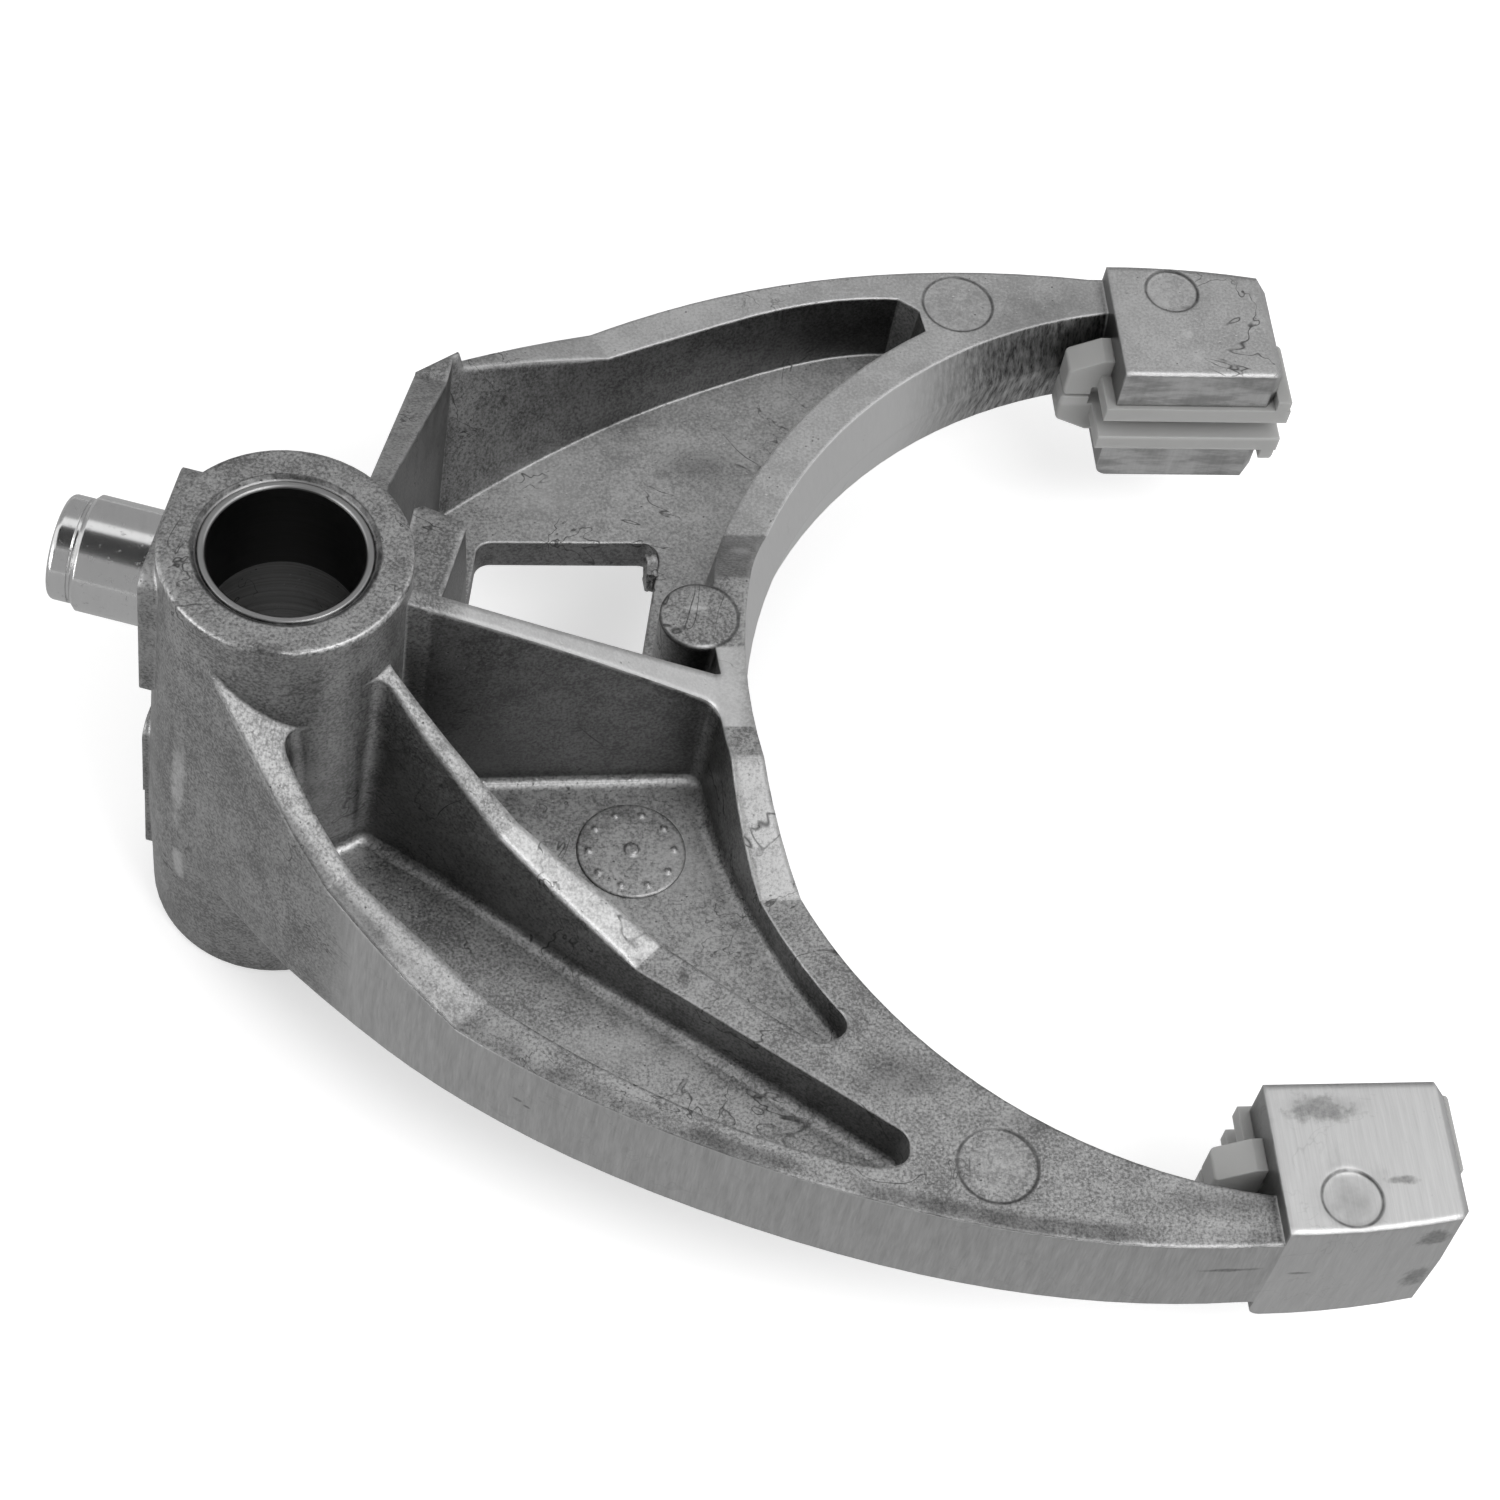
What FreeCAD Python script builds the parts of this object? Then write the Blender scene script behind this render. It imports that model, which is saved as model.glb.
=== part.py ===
import FreeCAD, Part
import math
import os
from FreeCAD import Vector

# Gearbox shift fork: a die-cast fork body that slides on a rail in two plain bushes,
# with a hardened actuating pin pressed into the hub and a nylon shoe clipped into each tip.
# Millimetres. The rail axis is Z, the origin is on it in the mid-plane of the shoe grooves,
# and the fork opens towards +X.

# Hub
HUB_TOP = 58.0
HUB_WAIST = -10.0
HUB_BOTTOM = -38.0
HUB_WAIST_RADIUS = 21.7
HUB_BOTTOM_RADIUS = 20.9
HUB_DRAFT = 1.35
HUB_RIM_ROUND = 0.9
HUB_FOOT_ROUND = 2.8

# Rail bushes, pressed into a plain bore
RAIL_DIAMETER = 25.0
BUSH_WALL = 1.5
BUSH_LENGTH = 20.0
BUSH_RECESS = 0.4
BUSH_CHAMFER = 0.4
SEAT_CHAMFER = 0.8

# Levels of the web, the arms and the pockets
ARM_TOP = 11.0
ARM_BOTTOM = -9.6
PARTING = 0.8
PLATEAU = 23.0
DEEP_FLOOR = -3.0
MARK_FLOOR = 4.5
LOWER_FLOOR = 1.5
WEB = 6.0
ABOVE_ALL = HUB_TOP + 5.0
OUTER_DRAFT = 2.2
RIB_DRAFT = 4.0
RIM_DRAFT = 5.3
UNDERSIDE_DRAFT = 5.0
UNDERSIDE_INSET = 1.5
CORNER_ROUND = 3.0
FLOOR_ROUND = 2.0

# Ring space that the fork straddles, with its crest at the parting line
RING_CENTRE_X = 170.5
RING_CREST_RADIUS = 90.3
RING_TOP_RADIUS = 93.2
RING_BOTTOM_RADIUS = 91.9
DEEP_RIM_RADIUS = 101.6
MARK_RIM_RADIUS = 100.2
RAMP_LOW_START = -36.0
RAMP_LOW_END = -16.0
RAMP_HIGH_START = 21.0
RAMP_HIGH_END = 39.0
RIM_MASS_WIDTH = 14.0

# Ejector marks, as centre x, centre y and radius
STUB_X = 70.2
STUB_Y = 12.8
STUB_RADIUS = 6.7
ARM_MARKS = [(127.1, 93.6, 6.6), (111.3, -85.6, 6.6)]
TIP_MARKS = [(167.6, 94.5, 5.0), (167.0, -94.6, 5.0)]
MARK_DEPTH = 0.25

# Tip blocks
TIP_START = 155.8
TIP_LENGTH = 30.6
TIP_INNER = 74.0
FAR_TIP_OUTER = 100.7
NEAR_TIP_OUTER = 101.2
TIP_TAPER = 2.4
TIP_HALF_HEIGHT = 14.7
TIP_END_CHAMFER = 1.8
TIP_FOOT_ROUND = 2.5
SLOT_HALF_HEIGHT = 5.8
SLOT_DEPTH = 13.0

# Nylon shoes
SHOE_GAP = 0.05
SHOE_PROUD = 0.9
SHOE_GROOVE_HALF = 2.3
SHOE_BACK = 3.0
SHOE_LIP = 1.9
SHOE_END_LIP = 2.9
END_LIP_HALF = 8.2
LIP_ROUND = 0.9
EAR_INNER = 81.1
EAR_LENGTH = 8.2
EAR_ROOT_HIGH = 9.8
EAR_TIP_HIGH = 6.7
EAR_LOW = 0.4
EAR_ROUND = 0.8

# Actuating pin and its cast boss
PIN_AZIMUTH = 162.8
PIN_HEIGHT = 44.2
PIN_RADIUS = 9.5
PIN_SHOULDER = 32.6
PIN_SHOULDER_CHAMFER = 0.8
PIN_NOSE_RADIUS = 8.6
PIN_NOSE_ROUND = 1.0
PIN_REACH = 36.6
PIN_GROOVE_WIDTH = 0.6
PIN_GROOVE_DEPTH = 0.35
SHANK_RADIUS = 5.5
SHANK_END = 15.6
BOSS_FACE = 20.9
BOSS_SIDE_FROM = -15.0
BOSS_SIDE_TO = 10.0
BOSS_LOW = 23.0
BOSS_HIGH = 54.2
BOSS_ROUND = 3.0
HEEL_FACE = 22.2
HEEL_STEP_FACE = 21.9
HEEL_SIDE_FROM = -10.0
HEEL_SIDE_TO = 5.0
HEEL_LOW = -31.0
HEEL_STEP = -13.0
HEEL_HIGH = 5.5

BORE_RADIUS = RAIL_DIAMETER / 2 + BUSH_WALL
TIP_END = TIP_START + TIP_LENGTH
ORIGIN = Vector(0, 0, 0)
UP = Vector(0, 0, 1)


def lean(angle):
    return math.tan(math.radians(angle))


def unit(start, end):
    dx = end[0] - start[0]
    dy = end[1] - start[1]
    size = math.hypot(dx, dy)
    return dx / size, dy / size


def point_lean(point, angle):
    """A point's own wall angle, its third value, or the outline's."""
    return lean(point[2] if len(point) > 2 else angle)


def moved_point(point, came, goes, came_shift, goes_shift):
    """Move a point so that both walls that meet in it shift outwards by their own amounts."""
    normal_in = (came[1], -came[0])
    normal_out = (goes[1], -goes[0])
    cross = normal_in[0] * normal_out[1] - normal_in[1] * normal_out[0]
    if abs(cross) < 0.05:
        shift = (came_shift + goes_shift) / 2
        middle_x = (normal_in[0] + normal_out[0]) / 2
        middle_y = (normal_in[1] + normal_out[1]) / 2
        return point[0] + middle_x * shift, point[1] + middle_y * shift
    dx = (came_shift * normal_out[1] - goes_shift * normal_in[1]) / cross
    dy = (goes_shift * normal_in[0] - came_shift * normal_out[0]) / cross
    return point[0] + dx, point[1] + dy


def pushed(stretches, rise, angle):
    """The outline at another level, each wall leaning outwards by its angle as it rises."""
    count = len(stretches)
    result = []
    for index, points in enumerate(stretches):
        before = stretches[index - 1]
        after = stretches[(index + 1) % count]
        moved = []
        for place, point in enumerate(points):
            shift = rise * point_lean(point, angle)
            came_shift = shift
            goes_shift = shift
            if place == 0:
                came = unit(before[-2], before[-1])
                came_shift = rise * point_lean(before[-1], angle)
            else:
                came = unit(points[place - 1], point)
            if place == len(points) - 1:
                goes = unit(after[0], after[1])
                goes_shift = rise * point_lean(after[0], angle)
            else:
                goes = unit(point, points[place + 1])
            moved.append(moved_point(point, came, goes, came_shift, goes_shift))
        result.append(moved)
    return result


def outline_wire(stretches, z):
    """A closed wire: two points make a line, more make a smooth curve."""
    edges = []
    for points in stretches:
        vectors = [Vector(point[0], point[1], z) for point in points]
        if len(vectors) == 2:
            edges.append(Part.LineSegment(vectors[0], vectors[1]).toShape())
        else:
            curve = Part.BSplineCurve()
            curve.interpolate(vectors)
            edges.append(curve.toShape())
    return Part.Wire(edges)


def drafted(stretches, z_reference, z_low, z_high, angle):
    """Solid between two levels whose walls lean outwards by their angles as they rise."""
    low = outline_wire(pushed(stretches, z_low - z_reference, angle), z_low)
    high = outline_wire(pushed(stretches, z_high - z_reference, angle), z_high)
    return Part.makeLoft([low, high], True, True)


def prism(stretches, z_low, z_high):
    face = Part.Face(outline_wire(stretches, z_low))
    return face.extrude(Vector(0, 0, z_high - z_low))


def polygon(points):
    """Stretches of straight lines round a list of corners."""
    return [[points[i], points[(i + 1) % len(points)]] for i in range(len(points))]


def under_line(profile, azimuth, floor):
    """Everything under a top line that is seen square to the azimuth."""
    reach = 150.0
    points = [Vector(s, -reach, z) for s, z in profile]
    points.append(Vector(profile[-1][0], -reach, floor))
    points.append(Vector(profile[0][0], -reach, floor))
    points.append(points[0])
    slab = Part.Face(Part.makePolygon(points)).extrude(Vector(0, 2 * reach, 0))
    slab.rotate(ORIGIN, UP, azimuth)
    return slab


def ring_arc(radius, y_from, y_to, count, angle=None):
    """Points along a circle about the ring's axis, between two distances from the mid-line."""
    start = math.asin(y_from / radius)
    stop = math.asin(y_to / radius)
    points = []
    for step in range(count):
        turn = start + (stop - start) * step / (count - 1)
        point = (RING_CENTRE_X - radius * math.cos(turn), radius * math.sin(turn))
        points.append(point if angle is None else point + (angle,))
    return points


def softened(cutter, floor, corner_round, floor_round):
    """Round a pocket cutter's upright corners, then its floor edge."""
    corners = []
    for edge in cutter.Edges:
        box = edge.BoundBox
        if box.ZMin < floor + 0.01 and box.ZLength > 1.0:
            corners.append(edge)
    rounded = cutter.makeFillet(corner_round, corners)
    rims = [edge for edge in rounded.Edges if abs(edge.BoundBox.ZMax - floor) < 0.01]
    return rounded.makeFillet(floor_round, rims)


LOWER_EDGE = [(0.3, -35.6), (9.6, -45.2), (20, -54.8), (45, -71.9), (75, -86.0), (110, -97.0), (153, -101.2)]
UPPER_EDGE = [(153, 100.6), (130, 101.8), (105, 99.8), (80, 94.0), (57.4, 84.9), (23.7, 65.8)]


def body_outline():
    """Outer outline of the web and arms, anticlockwise, at the parting plane."""
    end = TIP_START + 2.0
    hub_side = (-17.2, -13.1)
    wall_foot = (11.6, 18.2)
    inside_hub = (-5.0, 10.0)
    return [
        [hub_side, LOWER_EDGE[0]],
        LOWER_EDGE,
        [LOWER_EDGE[-1], (end, LOWER_EDGE[-1][1])],
        [(end, LOWER_EDGE[-1][1]), (end, UPPER_EDGE[0][1])],
        [(end, UPPER_EDGE[0][1]), UPPER_EDGE[0]],
        UPPER_EDGE,
        [UPPER_EDGE[-1], wall_foot],
        [wall_foot, inside_hub],
        [inside_hub, hub_side],
    ]


def envelope():
    outline = body_outline()
    above = drafted(outline, PARTING, PARTING, HUB_TOP, -OUTER_DRAFT)
    below = drafted(outline, PARTING, ARM_BOTTOM, PARTING, OUTER_DRAFT)
    return above.fuse(below)


def ring_space():
    """The space for the sleeve ring, widest away from the parting crest."""
    axis = Vector(RING_CENTRE_X, 0, 0)
    crest = axis + Vector(0, 0, PARTING)
    rise = ARM_TOP - PARTING
    upper = Part.makeCone(RING_CREST_RADIUS, RING_TOP_RADIUS, rise, crest)
    above = Part.makeCylinder(RING_TOP_RADIUS, HUB_TOP, axis + Vector(0, 0, ARM_TOP))
    drop = PARTING - ARM_BOTTOM
    lower = Part.makeCone(RING_BOTTOM_RADIUS, RING_CREST_RADIUS, drop, crest - Vector(0, 0, drop))
    below = Part.makeCylinder(RING_BOTTOM_RADIUS, WEB, axis + Vector(0, 0, ARM_BOTTOM - WEB))
    return upper.fuse([above, lower, below])


def centre_rib():
    plan = polygon([(4, -9.1), (74, -9.1), (74, 6), (4, 6)])
    top_line = [(0, 65.0), (20.5, 53.0), (72.0, PLATEAU), (80, PLATEAU)]
    return prism(plan, DEEP_FLOOR, HUB_TOP).common(under_line(top_line, 0, ARM_BOTTOM))


def left_wall():
    plan = polygon([(5, -5), (30, 14), (42, 60), (30, 72), (5, 60), (0, 18)])
    top_line = [(0, 65.0), (19.4, 53.0), (68.3, PLATEAU), (80, PLATEAU)]
    return prism(plan, DEEP_FLOOR, HUB_TOP).common(under_line(top_line, 76.5, ARM_BOTTOM))


def upper_rim():
    plan = polygon([(20, 50), (80, 60), (80, 100), (20, 70)])
    top_line = [(30, PLATEAU), (53.0, PLATEAU), (91.7, ARM_TOP), (100, ARM_TOP)]
    return prism(plan, DEEP_FLOOR, PLATEAU).common(under_line(top_line, 29.5, ARM_BOTTOM))


def inner_rim():
    """Mass of the ring's rim: it stands high between its two ramps."""
    reach = 44.0
    outer = ring_arc(RING_CREST_RADIUS + RIM_MASS_WIDTH, reach, -reach, 9)
    inner = ring_arc(RING_CREST_RADIUS, -reach, reach, 9)
    plan = [outer, [outer[-1], inner[0]], inner, [inner[-1], outer[0]]]
    top_line = [
        (-reach, ARM_TOP),
        (RAMP_LOW_START, ARM_TOP),
        (RAMP_LOW_END, PLATEAU),
        (RAMP_HIGH_START, PLATEAU),
        (RAMP_HIGH_END, ARM_TOP),
        (reach, ARM_TOP),
    ]
    return prism(plan, DEEP_FLOOR, PLATEAU).common(under_line(top_line, 90, ARM_BOTTOM))


def middle_rib():
    plan = polygon([(8, -8), (14, -24), (80, -90), (92, -50), (30, -9)])
    top_line = [(0, 61.0), (20.7, 44.0), (46.4, PLATEAU), (74.2, ARM_TOP), (130, ARM_TOP)]
    return prism(plan, DEEP_FLOOR, HUB_TOP).common(under_line(top_line, -45.3, ARM_BOTTOM))


def lower_rim():
    plan = polygon([(-20, -8), (0, -50), (40, -80), (45, -50), (4, -14)])
    top_line = [(-10, 62.0), (7.7, 46.0), (34.6, PLATEAU), (61.9, ARM_TOP), (90, ARM_TOP)]
    return prism(plan, DEEP_FLOOR, HUB_TOP).common(under_line(top_line, -48, ARM_BOTTOM))


def upper_pocket():
    """Deep pocket between the left wall, the outer rim of the upper arm and the ring's rim."""
    wall = [
        (115.5, 93.0, 6), (109.5, 92.6, 8), (94, 88.8, 11.5), (78.5, 82.8, 13),
        (63.2, 75.5, 17.5), (51.9, 68.9, 21.5), (40.6, 61.4, 24), (29.3, 52.9, 24),
    ]
    rim = ring_arc(DEEP_RIM_RADIUS, 12.0, 87.5, 8, RIM_DRAFT)
    hub_corner = (20.2, 15.0, 4.1)
    rib_foot = (21.0, -2.4, 1.5)
    rib_end = (70.4, 2.0, 3.0)
    end_corner = (118.6, 91.2)
    outline = [
        [hub_corner, (21.0, -2.4, 4.1)],
        [rib_foot, rib_end],
        [(70.4, 2.0, RIM_DRAFT), rim[0]],
        rim,
        [rim[-1], end_corner],
        [end_corner, (115.5, 93.0, 6)],
        wall,
        [(29.3, 52.9, 4.1), hub_corner],
    ]
    return drafted(outline, DEEP_FLOOR, DEEP_FLOOR, ABOVE_ALL, RIB_DRAFT)


def mark_outline():
    """Floor of the pocket between the centre rib, the ring's rim and the middle rib."""
    rib_side = [(17.0, -8.6), (38.8, -27.9), (60.3, -43.6), (76.1, -56.3), (85.1, -62.8)]
    rim = ring_arc(MARK_RIM_RADIUS, -60.5, -7.7, 6, 5.0)
    return [
        rib_side,
        [rib_side[-1], rim[0]],
        rim,
        [rim[-1][:2] + (7.1,), (17.0, -8.6, 0.3)],
    ]


def hub_arc(z, start, end, count):
    """Points along the hub's wall at a level, clockwise between two azimuths."""
    radius = HUB_WAIST_RADIUS - (z - HUB_WAIST) * lean(HUB_DRAFT)
    points = []
    for step in range(count):
        turn = math.radians(start + (end - start) * step / (count - 1))
        points.append((radius * math.cos(turn), radius * math.sin(turn), HUB_DRAFT))
    return points


def lower_outline():
    """Floor of the pocket between the hub, the middle rib and the outer rim of the lower arm."""
    outer = [
        (4.3, -27.0), (12.4, -37.4), (24.6, -47.6), (40.6, -60.2),
        (58.6, -71.5), (82.0, -82.2), (92.0, -84.9),
    ]
    rib_side = [
        (97.0, -80.2, 4), (87.3, -72.9, 4), (75.6, -64.2, 4), (62.7, -54.5, 4), (51.0, -46.0, 4),
        (45.4, -41.6, 3), (35.4, -33.2, 2), (28.5, -27.6, 2), (21.6, -22.4, 2.5),
    ]
    end = (96.6, -84.4)
    hub_side = hub_arc(LOWER_FLOOR, -50.6, -86.0, 5)
    rib_corner = hub_side[0][:2] + (4.5,)
    rim_corner = hub_side[-1][:2] + (RIB_DRAFT,)
    return [
        [rim_corner] + outer,
        [outer[-1], end],
        [end, rib_side[0]],
        rib_side + [rib_corner],
        hub_side,
    ]


def mark_pocket():
    cutter = drafted(mark_outline(), MARK_FLOOR, MARK_FLOOR, ABOVE_ALL, RIB_DRAFT)
    return softened(cutter, MARK_FLOOR, CORNER_ROUND, FLOOR_ROUND)


def lower_pocket():
    cutter = drafted(lower_outline(), LOWER_FLOOR, LOWER_FLOOR, ABOVE_ALL, RIB_DRAFT)
    return softened(cutter, LOWER_FLOOR, CORNER_ROUND, FLOOR_ROUND)


def pad():
    """Raised pad beside the hub, between the left wall and the centre rib."""
    plan = polygon([
        (5, 5), (14, -6), (19.8, -5.0), (27.3, 17.6), (31.6, 30.8), (31.2, 32.4), (24.6, 35.8), (12, 30),
    ])
    return drafted(plan, PLATEAU, ARM_BOTTOM, PLATEAU, -4.5)


def stub():
    return Part.makeCylinder(STUB_RADIUS, PLATEAU - ARM_BOTTOM, Vector(STUB_X, STUB_Y, ARM_BOTTOM))


def window():
    corners = [
        (36.3, 47.6), (33.5, 33.0), (29.5, 18.0), (27.0, 0.6), (64.0, 3.8), (64.1, 23.3), (69.2, 47.6),
    ]
    opening = drafted(polygon(corners), ARM_BOTTOM, ARM_BOTTOM - 5, ABOVE_ALL, 1.0)
    corner_edges = [edge for edge in opening.Edges if edge.BoundBox.ZLength > 5.0]
    return opening.makeFillet(CORNER_ROUND, corner_edges)


def widened(stretches, shift):
    """The outline with every wall moved outwards by the same amount."""
    flat = [[point[:2] for point in points] for points in stretches]
    return pushed(flat, shift, 45.0)


def underside_pocket(stretches, floor):
    """Shallow pocket under a floor, which leaves an even web."""
    top = floor - WEB
    mouth = ARM_BOTTOM - 1.0
    spread = (top - mouth) * lean(UNDERSIDE_DRAFT)
    inner = outline_wire(widened(stretches, -UNDERSIDE_INSET), top)
    outer = outline_wire(widened(stretches, spread - UNDERSIDE_INSET), mouth)
    return Part.makeLoft([inner, outer], True, True)


def web_block():
    """Web, arms and ribs before the hub and the tip blocks are joined."""
    base = prism(body_outline(), ARM_BOTTOM, ARM_TOP)
    masses = [centre_rib(), left_wall(), upper_rim(), inner_rim(), middle_rib(), lower_rim()]
    mass = base.fuse(masses).common(envelope())
    mass = mass.cut([upper_pocket(), mark_pocket(), lower_pocket()])
    mass = mass.fuse(pad()).cut(window())
    return mass.fuse(stub()).cut(ring_space())


def hub():
    rise = HUB_TOP - HUB_WAIST
    top_radius = HUB_WAIST_RADIUS - rise * lean(HUB_DRAFT)
    upper = Part.makeCone(HUB_WAIST_RADIUS, top_radius, rise, Vector(0, 0, HUB_WAIST))
    drop = HUB_WAIST - HUB_BOTTOM
    lower = Part.makeCone(HUB_BOTTOM_RADIUS, HUB_WAIST_RADIUS, drop, Vector(0, 0, HUB_BOTTOM))
    top_edges = [edge for edge in upper.Edges if edge.BoundBox.ZMin > HUB_TOP - 0.01]
    foot_edges = [edge for edge in lower.Edges if edge.BoundBox.ZMax < HUB_BOTTOM + 0.01]
    upper = upper.makeFillet(HUB_RIM_ROUND, top_edges)
    lower = lower.makeFillet(HUB_FOOT_ROUND, foot_edges)
    return upper.fuse(lower)


def boss_block(face, side_from, side_to, low, high):
    """A block on the hub's side whose outer face is square to the pin."""
    block = Part.makeBox(face, side_to - side_from, high - low, Vector(0, side_from, low))
    edges = []
    for edge in block.Edges:
        box = edge.BoundBox
        if box.XLength > 1.0:
            edges.append(edge)
    block = block.makeFillet(BOSS_ROUND, edges)
    block.rotate(ORIGIN, UP, PIN_AZIMUTH)
    return block


def pin_boss():
    return boss_block(BOSS_FACE, BOSS_SIDE_FROM, BOSS_SIDE_TO, BOSS_LOW, BOSS_HIGH)


def heel():
    upper = boss_block(HEEL_FACE, HEEL_SIDE_FROM, HEEL_SIDE_TO, HEEL_STEP - 6.0, HEEL_HIGH)
    lower = boss_block(HEEL_STEP_FACE, HEEL_SIDE_FROM, HEEL_SIDE_TO, HEEL_LOW, HEEL_HIGH - 6.0)
    return upper.common(Part.makeBox(80, 80, 80, Vector(-40, -40, HEEL_STEP))).fuse(lower)


def turned(profile):
    """A ring from points of radius and height."""
    points = [Vector(r, 0, z) for r, z in profile]
    points.append(points[0])
    return Part.Face(Part.makePolygon(points)).revolve(ORIGIN, UP, 360)


def bush(z_low, z_high):
    inner = RAIL_DIAMETER / 2
    c = BUSH_CHAMFER
    return turned([
        (inner + c, z_low), (BORE_RADIUS - c, z_low), (BORE_RADIUS, z_low + c),
        (BORE_RADIUS, z_high - c), (BORE_RADIUS - c, z_high), (inner + c, z_high),
        (inner, z_high - c), (inner, z_low + c),
    ])


def bore():
    through = Part.makeCylinder(BORE_RADIUS, HUB_TOP - HUB_BOTTOM + 2, Vector(0, 0, HUB_BOTTOM - 1))
    wide = BORE_RADIUS + SEAT_CHAMFER
    top = Part.makeCone(BORE_RADIUS, wide, SEAT_CHAMFER, Vector(0, 0, HUB_TOP - SEAT_CHAMFER))
    bottom = Part.makeCone(wide, BORE_RADIUS, SEAT_CHAMFER, Vector(0, 0, HUB_BOTTOM))
    return through.fuse([top, bottom])


def along_pin(solid):
    """Stand a solid that was made along Z on the pin's axis."""
    solid.rotate(ORIGIN, Vector(0, 1, 0), 90)
    solid.rotate(ORIGIN, UP, PIN_AZIMUTH)
    solid.translate(Vector(0, 0, PIN_HEIGHT))
    return solid


def shift_pin():
    groove_end = PIN_SHOULDER + PIN_GROOVE_WIDTH
    groove_radius = PIN_NOSE_RADIUS - PIN_GROOVE_DEPTH
    solid = turned([
        (0, SHANK_END), (SHANK_RADIUS, SHANK_END), (SHANK_RADIUS, BOSS_FACE), (PIN_RADIUS, BOSS_FACE),
        (PIN_RADIUS, PIN_SHOULDER - PIN_SHOULDER_CHAMFER), (PIN_RADIUS - PIN_SHOULDER_CHAMFER, PIN_SHOULDER),
        (groove_radius, PIN_SHOULDER), (groove_radius, groove_end), (PIN_NOSE_RADIUS, groove_end),
        (PIN_NOSE_RADIUS, PIN_REACH), (0, PIN_REACH),
    ])
    nose = [edge for edge in solid.Edges if edge.BoundBox.ZMin > PIN_REACH - 0.01 and edge.Length > 20]
    return along_pin(solid.makeFillet(PIN_NOSE_ROUND, nose))


def pin_hole():
    return along_pin(Part.makeCylinder(SHANK_RADIUS, BOSS_FACE, Vector(0, 0, SHANK_END)))


def mirrored(shape):
    return shape.mirror(ORIGIN, Vector(0, 1, 0))


def tip_block(outer):
    """A tip's block on the +Y side: its outer side leans in like the arm's, its end is chamfered."""
    draft = -OUTER_DRAFT
    end_outer = outer - TIP_TAPER
    side = [(TIP_END, end_outer, draft), (TIP_START + 15.0, outer - 0.4, draft), (TIP_START, outer, draft)]
    plan = [
        [(TIP_START, TIP_INNER), (TIP_END, TIP_INNER)],
        [(TIP_END, TIP_INNER), (TIP_END, end_outer)],
        side,
        [(TIP_START, outer), (TIP_START, TIP_INNER)],
    ]
    flipped = [[point[:2] + (OUTER_DRAFT,) if len(point) > 2 else point for point in part] for part in plan]
    above = drafted(plan, PARTING, PARTING, TIP_HALF_HEIGHT, 0.0)
    below = drafted(flipped, PARTING, -TIP_HALF_HEIGHT, PARTING, 0.0)
    block = above.fuse(below).removeSplitter()
    end_edges = [edge for edge in block.Edges if edge.BoundBox.XMin > TIP_END - 0.01]
    block = block.makeChamfer(TIP_END_CHAMFER, end_edges)
    foot_edges = []
    for edge in block.Edges:
        box = edge.BoundBox
        if box.XMax < TIP_START + 0.01 and box.ZMax < -TIP_HALF_HEIGHT + 0.01:
            foot_edges.append(edge)
    return block.makeFillet(TIP_FOOT_ROUND, foot_edges)


def tip_slot():
    reach = SLOT_DEPTH + 5.0
    return Part.makeBox(
        TIP_LENGTH + 2, reach, 2 * SLOT_HALF_HEIGHT,
        Vector(TIP_START - 1, TIP_INNER + SLOT_DEPTH - reach, -SLOT_HALF_HEIGHT))


def ear_room():
    """Room for the shoe's ears beside the arm, at the inner end of the block."""
    reach = SLOT_DEPTH + 5.0
    half = EAR_ROOT_HIGH + SHOE_GAP
    return Part.makeBox(
        EAR_LENGTH + SHOE_GAP, reach, 2 * half,
        Vector(TIP_START - EAR_LENGTH - SHOE_GAP, TIP_INNER + SLOT_DEPTH - reach, -half))


def ear(outer):
    """The ear above the mid-plane, which holds the shoe against the block's inner end."""
    points = [
        Vector(TIP_START, EAR_INNER, EAR_LOW),
        Vector(TIP_START - EAR_LENGTH, EAR_INNER, EAR_LOW),
        Vector(TIP_START - EAR_LENGTH, EAR_INNER, EAR_TIP_HIGH),
        Vector(TIP_START - SHOE_LIP, EAR_INNER, EAR_ROOT_HIGH),
        Vector(TIP_START, EAR_INNER, EAR_ROOT_HIGH),
        Vector(TIP_START, EAR_INNER, EAR_LOW),
    ]
    solid = Part.Face(Part.makePolygon(points)).extrude(Vector(0, outer - EAR_INNER, 0))
    ends = [edge for edge in solid.Edges if edge.BoundBox.XMax < TIP_START - EAR_LENGTH + 0.01]
    return solid.makeFillet(EAR_ROUND, ends)


def shoe():
    """The far tip's shoe: a grooved liner with an end lip and two snap ears."""
    half = SLOT_HALF_HEIGHT - SHOE_GAP
    front = TIP_INNER - SHOE_PROUD
    back = TIP_INNER + SLOT_DEPTH - SHOE_GAP
    start = TIP_START - SHOE_LIP
    end = TIP_END + SHOE_END_LIP
    liner = Part.makeBox(end - start, back - front, 2 * half, Vector(start, front, -half))
    lip = Part.makeBox(
        SHOE_END_LIP, back - front, 2 * END_LIP_HALF, Vector(TIP_END, front, -END_LIP_HALF))
    lip_edges = [edge for edge in lip.Edges if edge.BoundBox.XMin > end - 0.01]
    lip = lip.makeFillet(LIP_ROUND, lip_edges)
    upper_ear = ear(back)
    solid = liner.fuse([lip, upper_ear, upper_ear.mirror(ORIGIN, UP)])
    depth = back - SHOE_BACK - front
    groove = Part.makeBox(
        end - start + 2, depth + 1, 2 * SHOE_GROOVE_HALF,
        Vector(start - 1, front - 1, -SHOE_GROOVE_HALF))
    return solid.cut(groove).removeSplitter()


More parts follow.
